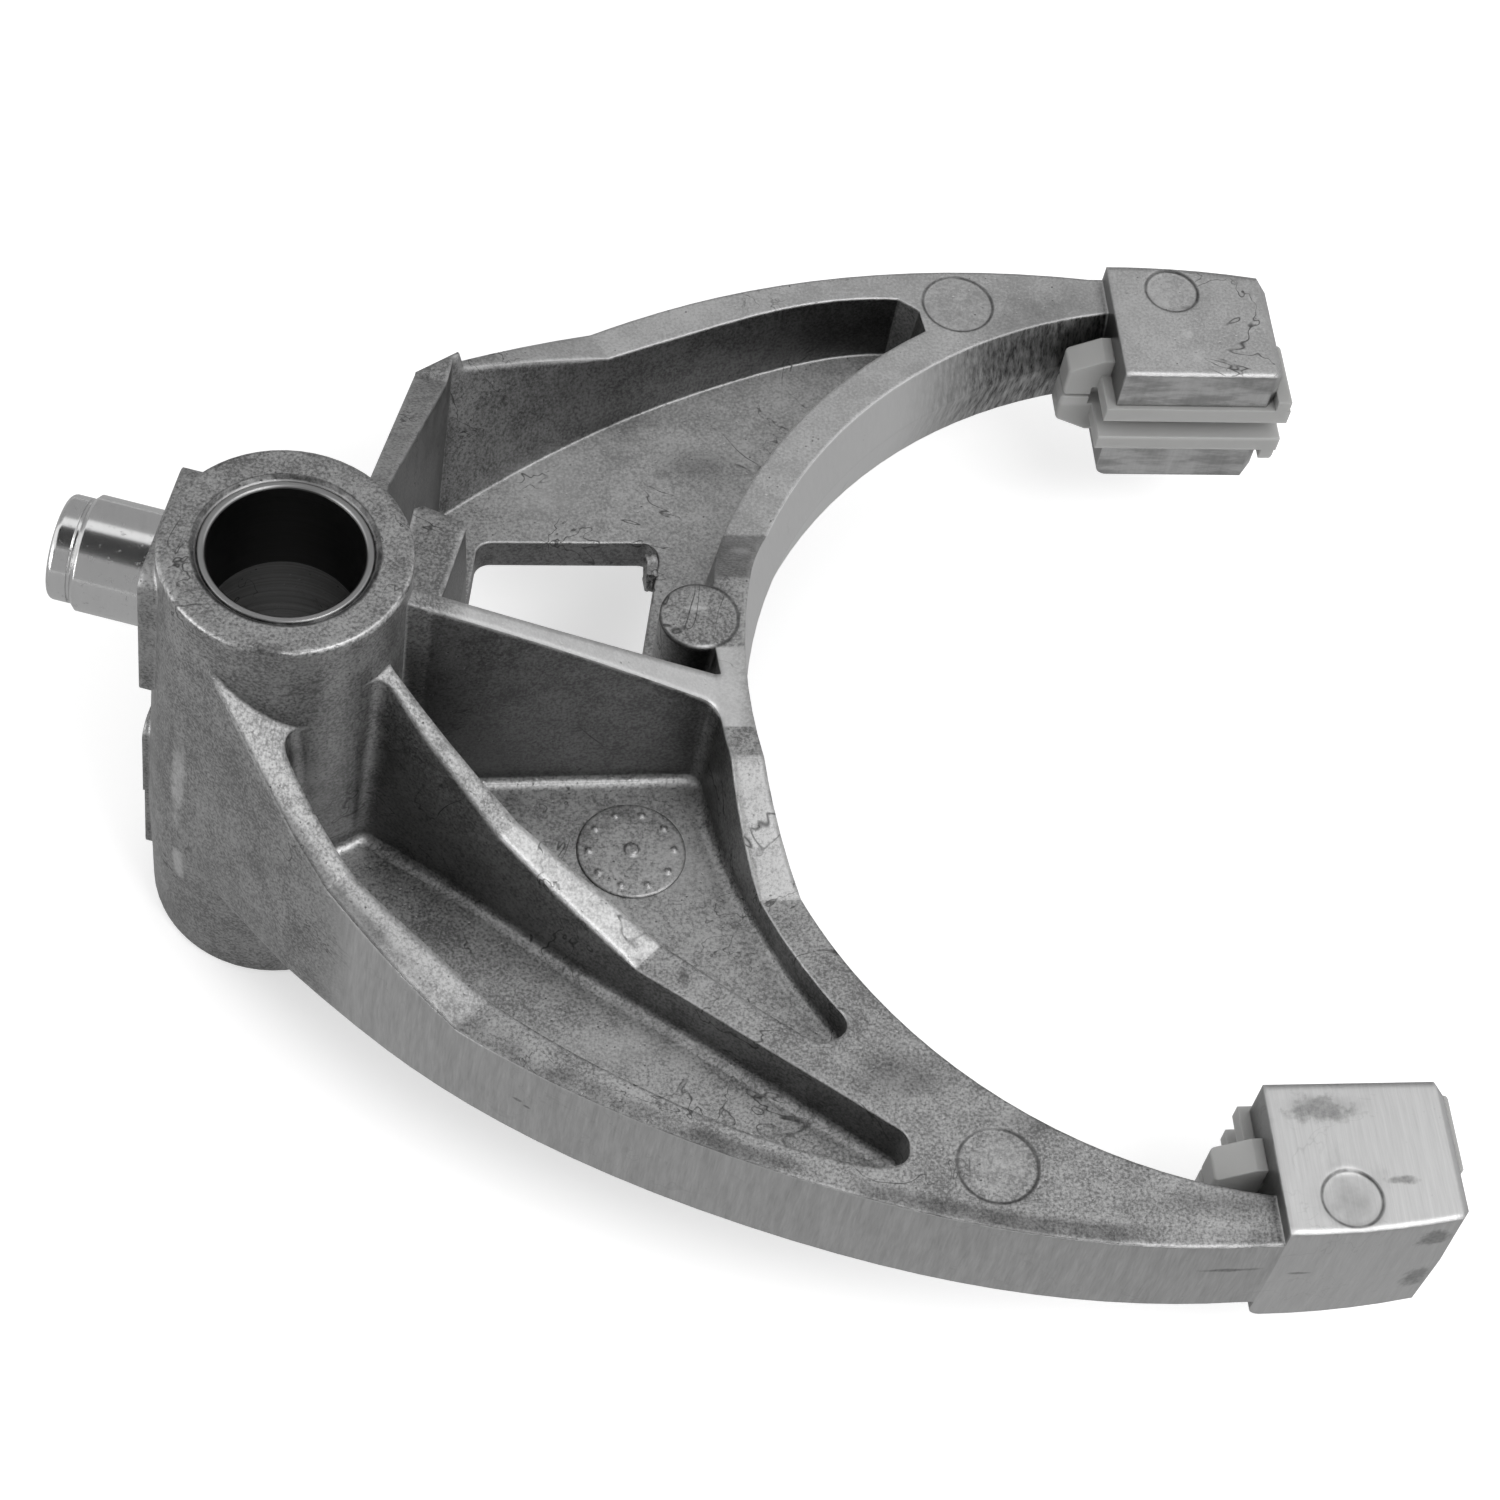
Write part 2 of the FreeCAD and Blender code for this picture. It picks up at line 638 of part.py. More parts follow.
def ejector_marks():
    marks = []
    for x, y, radius in ARM_MARKS:
        marks.append(Part.makeCylinder(radius, MARK_DEPTH + 1, Vector(x, y, ARM_TOP - MARK_DEPTH)))
    for x, y, radius in TIP_MARKS:
        marks.append(Part.makeCylinder(radius, MARK_DEPTH + 1, Vector(x, y, TIP_HALF_HEIGHT - MARK_DEPTH)))
    return marks


def fork_body():
    body = web_block()
    tips = [tip_block(FAR_TIP_OUTER), mirrored(tip_block(NEAR_TIP_OUTER))]
    body = body.fuse([hub(), pin_boss(), heel()] + tips)
    slot = tip_slot()
    room = ear_room()
    undersides = [
        underside_pocket(mark_outline(), MARK_FLOOR),
        underside_pocket(lower_outline(), LOWER_FLOOR),
    ]
    seats = [bore(), pin_hole(), slot, mirrored(slot), room, mirrored(room)]
    body = body.cut(seats + undersides + ejector_marks())
    return body.removeSplitter()


def save(shape, node):
    print(node, "solids", len(shape.Solids), "valid", shape.isValid(), "volume", round(shape.Volume, 1))
    shape.exportStep("parts/" + node + ".step")


def main():
    os.makedirs("parts", exist_ok=True)
    top = HUB_TOP - BUSH_RECESS
    bottom = HUB_BOTTOM + BUSH_RECESS
    far_shoe = shoe()
    save(fork_body(), "fork_body")
    save(bush(top - BUSH_LENGTH, top), "bush_upper")
    save(bush(bottom, bottom + BUSH_LENGTH), "bush_lower")
    save(shift_pin(), "shift_pin")
    save(far_shoe, "shoe_far")
    save(mirrored(far_shoe), "shoe_near")


main()
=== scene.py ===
import math

import bpy
from mathutils import Euler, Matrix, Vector


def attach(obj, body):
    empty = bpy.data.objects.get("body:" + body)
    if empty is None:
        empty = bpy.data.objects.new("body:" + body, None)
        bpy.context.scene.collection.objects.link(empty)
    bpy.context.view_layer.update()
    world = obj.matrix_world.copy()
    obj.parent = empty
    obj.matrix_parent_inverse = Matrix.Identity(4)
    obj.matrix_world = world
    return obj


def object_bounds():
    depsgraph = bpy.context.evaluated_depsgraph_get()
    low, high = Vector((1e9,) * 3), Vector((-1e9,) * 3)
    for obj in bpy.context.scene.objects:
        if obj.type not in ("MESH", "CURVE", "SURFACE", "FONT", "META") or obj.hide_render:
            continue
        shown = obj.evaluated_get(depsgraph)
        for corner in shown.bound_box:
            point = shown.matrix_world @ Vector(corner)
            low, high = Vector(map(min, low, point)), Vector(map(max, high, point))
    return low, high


bl_info = {
    "name": "Shift Fork",
    "version": (1, 0, 0),
    "blender": (4, 5, 0),
    "location": "View3D > Sidebar > Shift Fork",
    "description": "Finishes, small cast details and a studio for a gearbox shift fork",
    "category": "Object",
}

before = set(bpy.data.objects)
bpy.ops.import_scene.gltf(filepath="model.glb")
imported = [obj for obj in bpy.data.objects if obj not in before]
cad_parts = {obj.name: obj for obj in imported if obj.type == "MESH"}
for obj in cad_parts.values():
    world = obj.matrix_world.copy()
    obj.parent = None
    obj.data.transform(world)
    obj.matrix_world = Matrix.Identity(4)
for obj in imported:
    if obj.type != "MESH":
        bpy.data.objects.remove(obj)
CAD_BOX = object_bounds()

MM = 0.001

# Places of the casting, in millimetres, as in the part
TIP_START = 155.8
HUB_TOP = 58.0
HUB_REACH = 22.5
ARM_TOP = 11.0
RING_REACH = 94.5
BORE_RADIUS = 14.0
RAIL_RADIUS = 12.5
RING_CENTRE_X = 170.5
LOWER_SIDE_CENTRE = (154.5, 114.3)
LOWER_SIDE_RADIUS = 215.8
UPPER_SIDE_CENTRE = (131.8, -69.2)
UPPER_SIDE_RADIUS = 172.0
# Direction of the pin in plan, in degrees
PIN_AZIMUTH = 162.8

# How far inside the side arcs the ground band starts, and how softly, in millimetres
SIDE_REACH = 5.0
SIDE_BLUR = 0.4
# How far the floor lies under the fork, in millimetres
FLOOR_GAP = 0.05
# How far away a wall still shelters a face for the painted shade in recesses, in metres
SHELTER_REACH = 0.022
# Radii of the shaded edges, in millimetres
RIB_EXTRA_RADIUS = 0.9
HUB_RIM_SHARPER = 0.5
STEEL_EDGE_RADIUS = 0.3
# Grey levels of the painted light and painted shade tints on the skin
PAINTED_LIGHT_GREY = 0.9
PAINTED_SHADE_GREY = 0.08


class CastingFinish(bpy.types.PropertyGroup):
    """Colours and wear of the aluminium casting."""

    skin: bpy.props.FloatVectorProperty(
        name="Cast skin", description="Colour of the die-cast skin", subtype="COLOR",
        size=3, min=0.0, max=1.0, default=(0.36, 0.36, 0.36))
    ground: bpy.props.FloatVectorProperty(
        name="Ground faces", description="Colour of the ground and belt-finished faces", subtype="COLOR",
        size=3, min=0.0, max=1.0, default=(0.56, 0.56, 0.56))
    stain: bpy.props.FloatVectorProperty(
        name="Stains", description="Colour of die lubricant stains and soot", subtype="COLOR",
        size=3, min=0.0, max=1.0, default=(0.045, 0.045, 0.045))
    # Also the colour of the painted edge highlights, on convex and concave edges alike
    edge: bpy.props.FloatVectorProperty(
        name="Worn edges and highlights", description="Colour of the bright worn edges", subtype="COLOR",
        size=3, min=0.0, max=1.0, default=(0.62, 0.62, 0.62))
    edge_radius: bpy.props.FloatProperty(
        name="Edge radius", description="Radius of the small roundings along cast edges",
        subtype="DISTANCE", unit="LENGTH", min=0.0, max=0.003, default=0.0008)
    insert_radius: bpy.props.FloatProperty(
        name="Insert mark radius", description="Radius of the round die-insert mark",
        subtype="DISTANCE", unit="LENGTH", min=0.004, max=0.012, default=0.0092)


class SteelFinish(bpy.types.PropertyGroup):
    """Colours of the pin and the bushes."""

    pin: bpy.props.FloatVectorProperty(
        name="Pin", description="Colour of the polished pin", subtype="COLOR",
        size=3, min=0.0, max=1.0, default=(0.78, 0.78, 0.78))
    bush: bpy.props.FloatVectorProperty(
        name="Bush", description="Colour of the bush's turned end", subtype="COLOR",
        size=3, min=0.0, max=1.0, default=(0.42, 0.42, 0.42))
    # The liner's dark colour is partly painted shade deep inside the bore
    liner: bpy.props.FloatVectorProperty(
        name="Liner", description="Colour of the bush's dark sliding face", subtype="COLOR",
        size=3, min=0.0, max=1.0, default=(0.09, 0.09, 0.09))


class ShoeFinish(bpy.types.PropertyGroup):
    """Colour of the nylon shoes."""

    nylon: bpy.props.FloatVectorProperty(
        name="Nylon", description="Colour of the moulded nylon", subtype="COLOR",
        size=3, min=0.0, max=1.0, default=(0.35, 0.35, 0.345))
    edge_round: bpy.props.FloatProperty(
        name="Edge rounding", description="Rounding of the moulded edges", subtype="DISTANCE",
        unit="LENGTH", min=0.0, max=0.001, default=0.0004)


class StudioSettings(bpy.types.PropertyGroup):
    """Camera, lamps and backdrop."""

    camera_place: bpy.props.FloatVectorProperty(
        name="Camera place", description="Where the camera stands", subtype="TRANSLATION", unit="LENGTH",
        size=3, default=(-0.016155, -0.336036, 0.504121))
    camera_turn: bpy.props.FloatVectorProperty(
        name="Camera turn", description="The camera's rotation", subtype="EULER",
        size=3, default=tuple(math.radians(angle) for angle in (34.11145, -7.47134, -5.19199)))
    lens: bpy.props.FloatProperty(
        name="Lens", description="Focal length in millimetres", min=10.0, max=300.0, default=85.299)
    ambient: bpy.props.FloatProperty(
        name="Ambient", description="Strength of the even studio light", min=0.0, max=3.0, default=0.75)
    key: bpy.props.FloatProperty(
        name="Key lamp", description="Power of the front softbox", subtype="POWER", unit="POWER",
        min=0.0, default=3.2)
    side: bpy.props.FloatProperty(
        name="Side lamp", description="Power of the left softbox", subtype="POWER", unit="POWER",
        min=0.0, default=1.7)


def put(tree, kind, inputs=None, **settings):
    """Adds a shader node, sets it and joins or fills its inputs."""
    node = tree.nodes.new("ShaderNode" + kind)
    for name, value in settings.items():
        setattr(node, name, value)
    for key, value in (inputs or {}).items():
        if isinstance(value, bpy.types.NodeSocket):
            tree.links.new(value, node.inputs[key])
        else:
            node.inputs[key].default_value = value
    return node


def maths(tree, operation, *values):
    return put(tree, "Math", dict(enumerate(values)), operation=operation).outputs[0]


def vector_maths(tree, operation, output, *values):
    return put(tree, "VectorMath", dict(enumerate(values)), operation=operation).outputs[output]


def step(tree, value, start, stop):
    """A smooth rise from 0 at start to 1 at stop; it falls where start is the larger."""
    if start > stop:
        return unless(tree, step(tree, value, stop, start))
    node = put(tree, "MapRange", {"Value": value, "From Min": start, "From Max": stop},
               interpolation_type="SMOOTHSTEP")
    return node.outputs["Result"]


def both(tree, *masks):
    result = masks[0]
    for mask in masks[1:]:
        result = maths(tree, "MULTIPLY", result, mask)
    return result


def either(tree, *masks):
    result = masks[0]
    for mask in masks[1:]:
        result = maths(tree, "MAXIMUM", result, mask)
    return result


def unless(tree, mask):
    """The reverse of a mask."""
    return maths(tree, "SUBTRACT", 1.0, mask)


def scaled(tree, value, low, high):
    """Maps 0..1 to low..high."""
    return maths(tree, "MULTIPLY_ADD", value, high - low, low)


def tint(tree, factor, first, second):
    """Mixes two colours."""
    node = put(tree, "Mix", data_type="RGBA")
    for socket, value in ((node.inputs[0], factor), (node.inputs[6], first), (node.inputs[7], second)):
        if isinstance(value, bpy.types.NodeSocket):
            tree.links.new(value, socket)
        elif isinstance(value, float):
            socket.default_value = value
        else:
            socket.default_value = (*value, 1.0)
    return node.outputs[2]


def tint_value(tree, factor, first, second):
    """Mixes two numbers."""
    return put(tree, "Mix", {0: factor, 2: first, 3: second}, data_type="FLOAT").outputs[0]


def between(tree, value, low, high, blur):
    """Mask of a band of values."""
    return both(tree, step(tree, value, low, low + blur), step(tree, value, high, high - blur))


def noise(tree, place, scale, detail=3.0, roughness=0.55, distortion=0.0):
    node = put(tree, "TexNoise", {
        "Vector": place, "Scale": scale, "Detail": detail, "Roughness": roughness, "Distortion": distortion})
    return node.outputs["Fac"]


def stretched(tree, place, scale, turn=(0.0, 0.0, 0.0)):
    return put(tree, "Mapping", {"Vector": place, "Rotation": turn, "Scale": scale}).outputs["Vector"]


def in_metres(values):
    return tuple(value * MM for value in values)


def grey(level):
    return (level, level, level)


def plan_distance(tree, place, centre=(0.0, 0.0)):
    """Distance in plan from a centre given in millimetres."""
    flat = vector_maths(tree, "MULTIPLY", "Vector", place, (1.0, 1.0, 0.0))
    offset = vector_maths(tree, "SUBTRACT", "Vector", flat, (centre[0] * MM, centre[1] * MM, 0.0))
    return vector_maths(tree, "LENGTH", "Value", offset)


def new_group(name, inputs, outputs):
    """An empty node group with named sockets, and its ends."""
    tree = bpy.data.node_groups.new(name, "ShaderNodeTree")
    for label, kind in inputs:
        tree.interface.new_socket(label, in_out="INPUT", socket_type="NodeSocket" + kind)
    for label, kind in outputs:
        tree.interface.new_socket(label, in_out="OUTPUT", socket_type="NodeSocket" + kind)
    return tree, tree.nodes.new("NodeGroupInput"), tree.nodes.new("NodeGroupOutput")


def use_group(tree, group, **inputs):
    node = tree.nodes.new("ShaderNodeGroup")
    node.node_tree = group
    for key, value in inputs.items():
        if isinstance(value, bpy.types.NodeSocket):
            tree.links.new(value, node.inputs[key])
        else:
            node.inputs[key].default_value = value
    return node.outputs


def edge_wear_and_highlight_group():
    """Rounded normals along sharp edges, and a mask of where they turn away from the face, for worn edges and
    painted edge highlights.
    """
    tree, ends, out = new_group("Worn edges and highlights", [("Radius", "Float"), ("Place", "Vector")],
                                [("Mask", "Float"), ("Normal", "Vector")])
    rounded = put(tree, "Bevel", {"Radius": ends.outputs["Radius"]}, samples=6).outputs["Normal"]
    flat = put(tree, "NewGeometry").outputs["Normal"]
    turn = vector_maths(tree, "DOT_PRODUCT", "Value", rounded, flat)
    patchy = noise(tree, ends.outputs["Place"], 260.0, 4.0, 0.65)
    mask = both(tree, step(tree, turn, 0.995, 0.90), step(tree, patchy, 0.30, 0.55))
    tree.links.new(mask, out.inputs["Mask"])
    tree.links.new(rounded, out.inputs["Normal"])
    return tree


def cast_skin_group():
    """Mottling, flow lines and fine grain of a die-cast skin."""
    tree, ends, out = new_group("Cast skin", [("Place", "Vector")],
                                [("Tone", "Float"), ("Stains", "Float"), ("Height", "Float")])
    place = ends.outputs["Place"]
    broad = noise(tree, place, 38.0, 4.0, 0.6, 0.6)
    middle = noise(tree, place, 190.0, 5.0, 0.6, 0.3)
    fine = noise(tree, place, 1900.0, 2.0, 0.7)
    specks = put(tree, "TexVoronoi", {"Vector": place, "Scale": 620.0}).outputs["Distance"]
    pits = step(tree, specks, 0.16, 0.05)
    tone = maths(tree, "ADD", scaled(tree, broad, -0.5, 0.5), scaled(tree, middle, -0.6, 0.6))
    tone = maths(tree, "ADD", tone, scaled(tree, fine, -1.3, 1.3))
    tree.links.new(tone, out.inputs["Tone"])
    flow = noise(tree, place, 42.0, 4.0, 0.62, 0.9)
    lines = step(tree, maths(tree, "ABSOLUTE", maths(tree, "SUBTRACT", flow, 0.5)), 0.008, 0.0)
    gate = both(tree, step(tree, noise(tree, place, 34.0, 2.0), 0.50, 0.58), step(tree, middle, 0.30, 0.55))
    stains = either(tree, both(tree, lines, gate), both(tree, pits, step(tree, middle, 0.50, 0.62)))
    tree.links.new(stains, out.inputs["Stains"])
    height = maths(tree, "ADD", scaled(tree, fine, 0.0, 0.5), scaled(tree, middle, 0.0, 0.8))
    tree.links.new(maths(tree, "SUBTRACT", height, pits), out.inputs["Height"])
    return tree


def ground_group():
    """Fine parallel lines of a belt-ground face; the place comes already stretched."""
    tree, ends, out = new_group("Ground lines", [("Place", "Vector")], [("Tone", "Float")])
    coarse = noise(tree, ends.outputs["Place"], 1.0, 3.0, 0.6)
    fine = noise(tree, ends.outputs["Place"], 3.1, 2.0, 0.6)
    total = maths(tree, "ADD", scaled(tree, coarse, -0.6, 0.6), scaled(tree, fine, -0.4, 0.4))
    tree.links.new(total, out.inputs["Tone"])
    return tree


def spot_group(name, edge, grain):
    """A patch round a centre, ragged or cloudy."""
    tree, ends, out = new_group(name, [("Place", "Vector"), ("Centre", "Vector"), ("Size", "Vector")],
                                [("Mask", "Float")])
    offset = vector_maths(tree, "SUBTRACT", "Vector", ends.outputs["Place"], ends.outputs["Centre"])
    relative = vector_maths(tree, "DIVIDE", "Vector", offset, ends.outputs["Size"])
    distance = vector_maths(tree, "LENGTH", "Value", relative)
    ragged = noise(tree, ends.outputs["Place"], grain, 5.0, 0.65)
    distance = maths(tree, "ADD", distance, scaled(tree, ragged, -0.8, 0.8))
    patchy = scaled(tree, noise(tree, ends.outputs["Place"], 3.0 * grain, 3.0, 0.6), 0.3, 1.3)
    tree.links.new(both(tree, step(tree, distance, 1.0, edge), patchy), out.inputs["Mask"])
    return tree


def ring_line_group():
    """A thin dark line round a circle that lies flat."""
    tree, ends, out = new_group("Ring line", [("Place", "Vector"), ("Centre", "Vector"), ("Radius", "Float")],
                                [("Mask", "Float")])
    offset = vector_maths(tree, "SUBTRACT", "Vector", ends.outputs["Place"], ends.outputs["Centre"])
    parts = put(tree, "SeparateXYZ", {0: offset}).outputs
    flat = put(tree, "CombineXYZ", {0: parts[0], 1: parts[1]}).outputs[0]
    reach = vector_maths(tree, "LENGTH", "Value", flat)
    gap = maths(tree, "ABSOLUTE", maths(tree, "SUBTRACT", reach, ends.outputs["Radius"]))
    level = step(tree, maths(tree, "ABSOLUTE", parts[2]), 0.9 * MM, 0.6 * MM)
    ragged = noise(tree, ends.outputs["Place"], 500.0, 4.0, 0.6)
    mask = both(tree, step(tree, gap, 0.5 * MM, 0.1 * MM), level, scaled(tree, ragged, 0.3, 1.4))
    tree.links.new(mask, out.inputs["Mask"])
    return tree


# The shared node groups, filled by make_groups
GROUPS = {}


def make_groups():
    GROUPS["edges"] = edge_wear_and_highlight_group()
    GROUPS["skin"] = cast_skin_group()
    GROUPS["ground"] = ground_group()
    GROUPS["spot"] = spot_group("Spot", 0.35, 420.0)
    GROUPS["cloud"] = spot_group("Cloud", 0.0, 90.0)
    GROUPS["ring"] = ring_line_group()


def bare_material(name):
    """A material with an empty node tree."""
    material = bpy.data.materials.new(name)
    material.use_nodes = True
    material.node_tree.nodes.clear()
    return material, material.node_tree


def new_material(name):
    """A material with its shader, and the place in the object's own frame."""
    material, tree = bare_material(name)
    shader = tree.nodes.new("ShaderNodeBsdfPrincipled")
    output = tree.nodes.new("ShaderNodeOutputMaterial")
    tree.links.new(shader.outputs[0], output.inputs["Surface"])
    place = put(tree, "TexCoord").outputs["Object"]
    return material, tree, shader, place


def add_bump(tree, shader, height, normal, strength, distance):
    """Bump on top of the rounded edges; the distance is in millimetres."""
    bump = put(tree, "Bump", {"Height": height, "Normal": normal, "Strength": strength,
                              "Distance": distance * MM})
    tree.links.new(bump.outputs[0], shader.inputs["Normal"])


def assign(node, material):
    """Gives a CAD piece one material in every slot."""
    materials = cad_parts[node].data.materials
    if not materials:
        materials.append(material)
    for index in range(len(materials)):
        materials[index] = material


# Die-insert mark on the floor of the middle pocket, in millimetres
INSERT_CENTRE = (58.0, -22.4, 4.5)
INSERT_DOTS = 10
PAD_HEIGHT = 0.6
DOT_HEIGHT = 0.6
DOT_RADIUS = 0.5
DOT_INSET = 2.0
MIDDLE_DOT_RADIUS = 1.2

# Burr in the corner of the web's window: centre, size and roughness in millimetres
BURR_CENTRE = (67.2, 42.6, -5.0)
BURR_SIZE = (2.2, 5.0, 5.0)
BURR_ROUGHNESS = 0.7

# Stains and nicks: centre and half sizes in millimetres
DARK_SPOTS = [
    ((164.5, -78.5, 14.7), (7.5, 3.2, 2.0)),
    ((175.5, -91.5, 14.7), (3.5, 1.0, 1.0)),
    ((181.0, -99.3, 9.5), (3.4, 3.0, 3.2)),
    ((182.0, -99.2, -5.0), (3.0, 3.0, 4.4)),
    ((170.0, 90.6, 14.7), (1.6, 0.8, 0.8)),
    ((160.5, -101.2, 1.7), (3.0, 1.5, 0.5)),
    ((148.5, -101.0, 3.4), (6.0, 2.0, 0.6)),
    ((36.9, -67.0, 1.1), (1.2, 1.2, 0.5)),
    ((38.4, -67.9, 0.3), (0.9, 0.9, 0.5)),
    ((64.0, -50.6, 11.0), (1.1, 2.2, 1.0)),
    ((29.0, -17.0, 38.0), (5.0, 5.0, 6.0)),
    ((-3.0, -19.5, 58.0), (5.0, 1.6, 1.0)),
]
# Ejector pin marks: centre and radius in millimetres
EJECTOR_MARKS = [
    ((127.1, 93.6, 11.0), 6.6), ((111.3, -85.6, 11.0), 6.6), ((70.2, 12.8, 23.0), 6.7),
    ((167.6, 94.5, 14.7), 5.0), ((167.0, -94.6, 14.7), 5.0),
]
# Where the skin is rubbed bright: centre and half sizes in millimetres
BRIGHT_SPOTS = [
    ((80.0, 32.0, 15.0), (2.2, 3.0, 2.5)),
    ((82.0, 27.5, 15.0), (1.6, 1.6, 9.0)),
    ((-16.6, -12.8, 12.0), (2.2, 2.2, 16.0)),
    ((-16.8, -13.7, -12.0), (1.8, 1.8, 7.0)),
    ((70.0, 14.5, 23.0), (3.0, 0.7, 1.0)),
    ((169.0, 84.0, 14.7), (1.3, 2.0, 0.8)),
    ((170.0, 78.5, 14.7), (1.3, 1.6, 0.8)),
    ((183.0, 93.0, 14.7), (1.2, 1.2, 0.8)),
]
# Cloudy dark patches: centre and half sizes in millimetres
DARK_CLOUDS = [
    ((78.0, 66.0, -3.0), (12.0, 8.0, 4.0)),
    ((60.0, 75.0, -3.0), (12.0, 4.0, 4.0)),
    ((150.0, -93.0, 11.0), (22.0, 4.0, 3.0)),
    ((122.0, -78.0, 11.0), (14.0, 3.0, 3.0)),
    ((98.0, -69.0, 11.0), (13.0, 6.0, 3.0)),
    ((164.0, -78.0, 14.7), (9.0, 3.0, 2.0)),
    ((-27.0, 2.0, 20.0), (9.0, 26.0, 60.0)),
    ((140.0, 90.0, 6.0), (22.0, 12.0, 12.0)),
    ((34.0, -16.0, 12.0), (9.0, 9.0, 20.0)),
    ((167.0, -94.6, 14.7), (8.0, 8.0, 2.0)),
    ((76.0, 20.0, 8.0), (6.0, 14.0, 9.0)),
]
# Cloudy light patches on the pocket floors
LIGHT_CLOUDS = [
    ((111.3, -85.6, 11.0), (7.0, 6.0, 3.0)),
    ((54.0, -58.0, 1.5), (17.0, 7.0, 4.0)),
    ((48.0, 62.0, -3.0), (17.0, 12.0, 4.0)),
    ((66.0, -26.0, 4.5), (9.0, 11.0, 4.0)),
]


def spots_of(tree, place, spots, soft=False):
    """One mask for a list of spots or soft clouds."""
    group = GROUPS["cloud" if soft else "spot"]
    masks = []
    for centre, size in spots:
        patch = use_group(tree, group, Place=place, Centre=in_metres(centre), Size=in_metres(size))
        masks.append(patch["Mask"])
    return either(tree, *masks)


def ejector_rings(tree, place):
    """The thin dark outlines that the ejector pins leave."""
    masks = []
    for centre, radius in EJECTOR_MARKS:
        ring = use_group(tree, GROUPS["ring"], Place=place, Radius=radius * MM, Centre=in_metres(centre))
        masks.append(ring["Mask"])
    return either(tree, *masks)


def beyond_arc(tree, distance, radius):
    """Mask of what lies near or outside a side's arc."""
    start = radius - SIDE_REACH
    return step(tree, distance, start * MM, (start + SIDE_BLUR) * MM)


def casting_places(tree, place):
    """Masks and measures that tell one part of the casting from another."""
    normal = put(tree, "NewGeometry").outputs["Normal"]
    x, y, z = put(tree, "SeparateXYZ", {0: place}).outputs
    face_x, face_y, face_z = put(tree, "SeparateXYZ", {0: normal}).outputs
    at = {"x": x, "y": y, "z": z, "face_x": face_x, "face_y": face_y, "face_z": face_z, "normal": normal}
    at["from_axis"] = plan_distance(tree, place)
    at["from_arc"] = plan_distance(tree, place, LOWER_SIDE_CENTRE)
    at["upright"] = step(tree, maths(tree, "ABSOLUTE", face_z), 0.5, 0.3)
    at["flat"] = step(tree, face_z, 0.6, 0.8)
    at["far"] = step(tree, y, 0.05, 0.06)
    at["tip"] = step(tree, x, (TIP_START - 0.15) * MM, (TIP_START + 0.05) * MM)
    at["far_top"] = both(tree, at["tip"], at["far"], at["flat"])
    at["lower_band"] = beyond_arc(tree, at["from_arc"], LOWER_SIDE_RADIUS)
    upper_band = beyond_arc(tree, plan_distance(tree, place, UPPER_SIDE_CENTRE), UPPER_SIDE_RADIUS)
    lower = both(tree, at["lower_band"], step(tree, face_y, -0.3, -0.5), at["upright"],
                 step(tree, x, 0.004, 0.012))
    upper = both(tree, upper_band, step(tree, face_y, 0.2, 0.4), at["upright"], step(tree, x, 0.020, 0.026))
    ring_reach = plan_distance(tree, place, (RING_CENTRE_X, 0.0))
    inside_ring = step(tree, ring_reach, RING_REACH * MM, (RING_REACH - 0.5) * MM)
    at["ring_wall"] = both(tree, inside_ring, at["upright"], unless(tree, at["tip"]))
    machined_tip = both(tree, at["tip"], unless(tree, at["far_top"]))
    at["ground"] = either(tree, lower, upper, machined_tip, at["ring_wall"])
    # Occlusion, used only for the painted shade in recesses
    at["open"] = put(tree, "AmbientOcclusion", {"Distance": SHELTER_REACH}, samples=6).outputs["AO"]
    return at


def painted_ramp_light_and_shade(tree, colour, at):
    """Painted light and shade on the ramps at the ends of the ribs: each ramp lighter or darker by the way it
    faces.
    """
    across = maths(tree, "MULTIPLY", at["face_x"], 0.8)
    along = maths(tree, "MULTIPLY", at["face_y"], 0.6)
    slope = maths(tree, "SUBTRACT", across, along)
    ramps = both(tree, step(tree, slope, 0.24, 0.32), step(tree, at["face_z"], 0.80, 0.85))
    beside_arm = step(tree, at["from_arc"], (LOWER_SIDE_RADIUS - 16.0) * MM, (LOWER_SIDE_RADIUS - 12.0) * MM)
    diagonal = step(tree, at["face_x"], 0.12, 0.20)
    steep = step(tree, at["face_y"], -0.40, -0.48)
    middle = both(tree, ramps, diagonal, step(tree, at["face_y"], -0.10, -0.20), unless(tree, beside_arm))
    low = both(tree, ramps, diagonal, beside_arm)
    rim = both(tree, ramps, steep, unless(tree, diagonal))
    colour = tint(tree, scaled(tree, middle, 0.0, 0.18), colour, grey(0.85))
    colour = tint(tree, scaled(tree, low, 0.0, 0.35), colour, grey(PAINTED_SHADE_GREY))
    return tint(tree, scaled(tree, rim, 0.0, 0.40), colour, grey(PAINTED_SHADE_GREY))


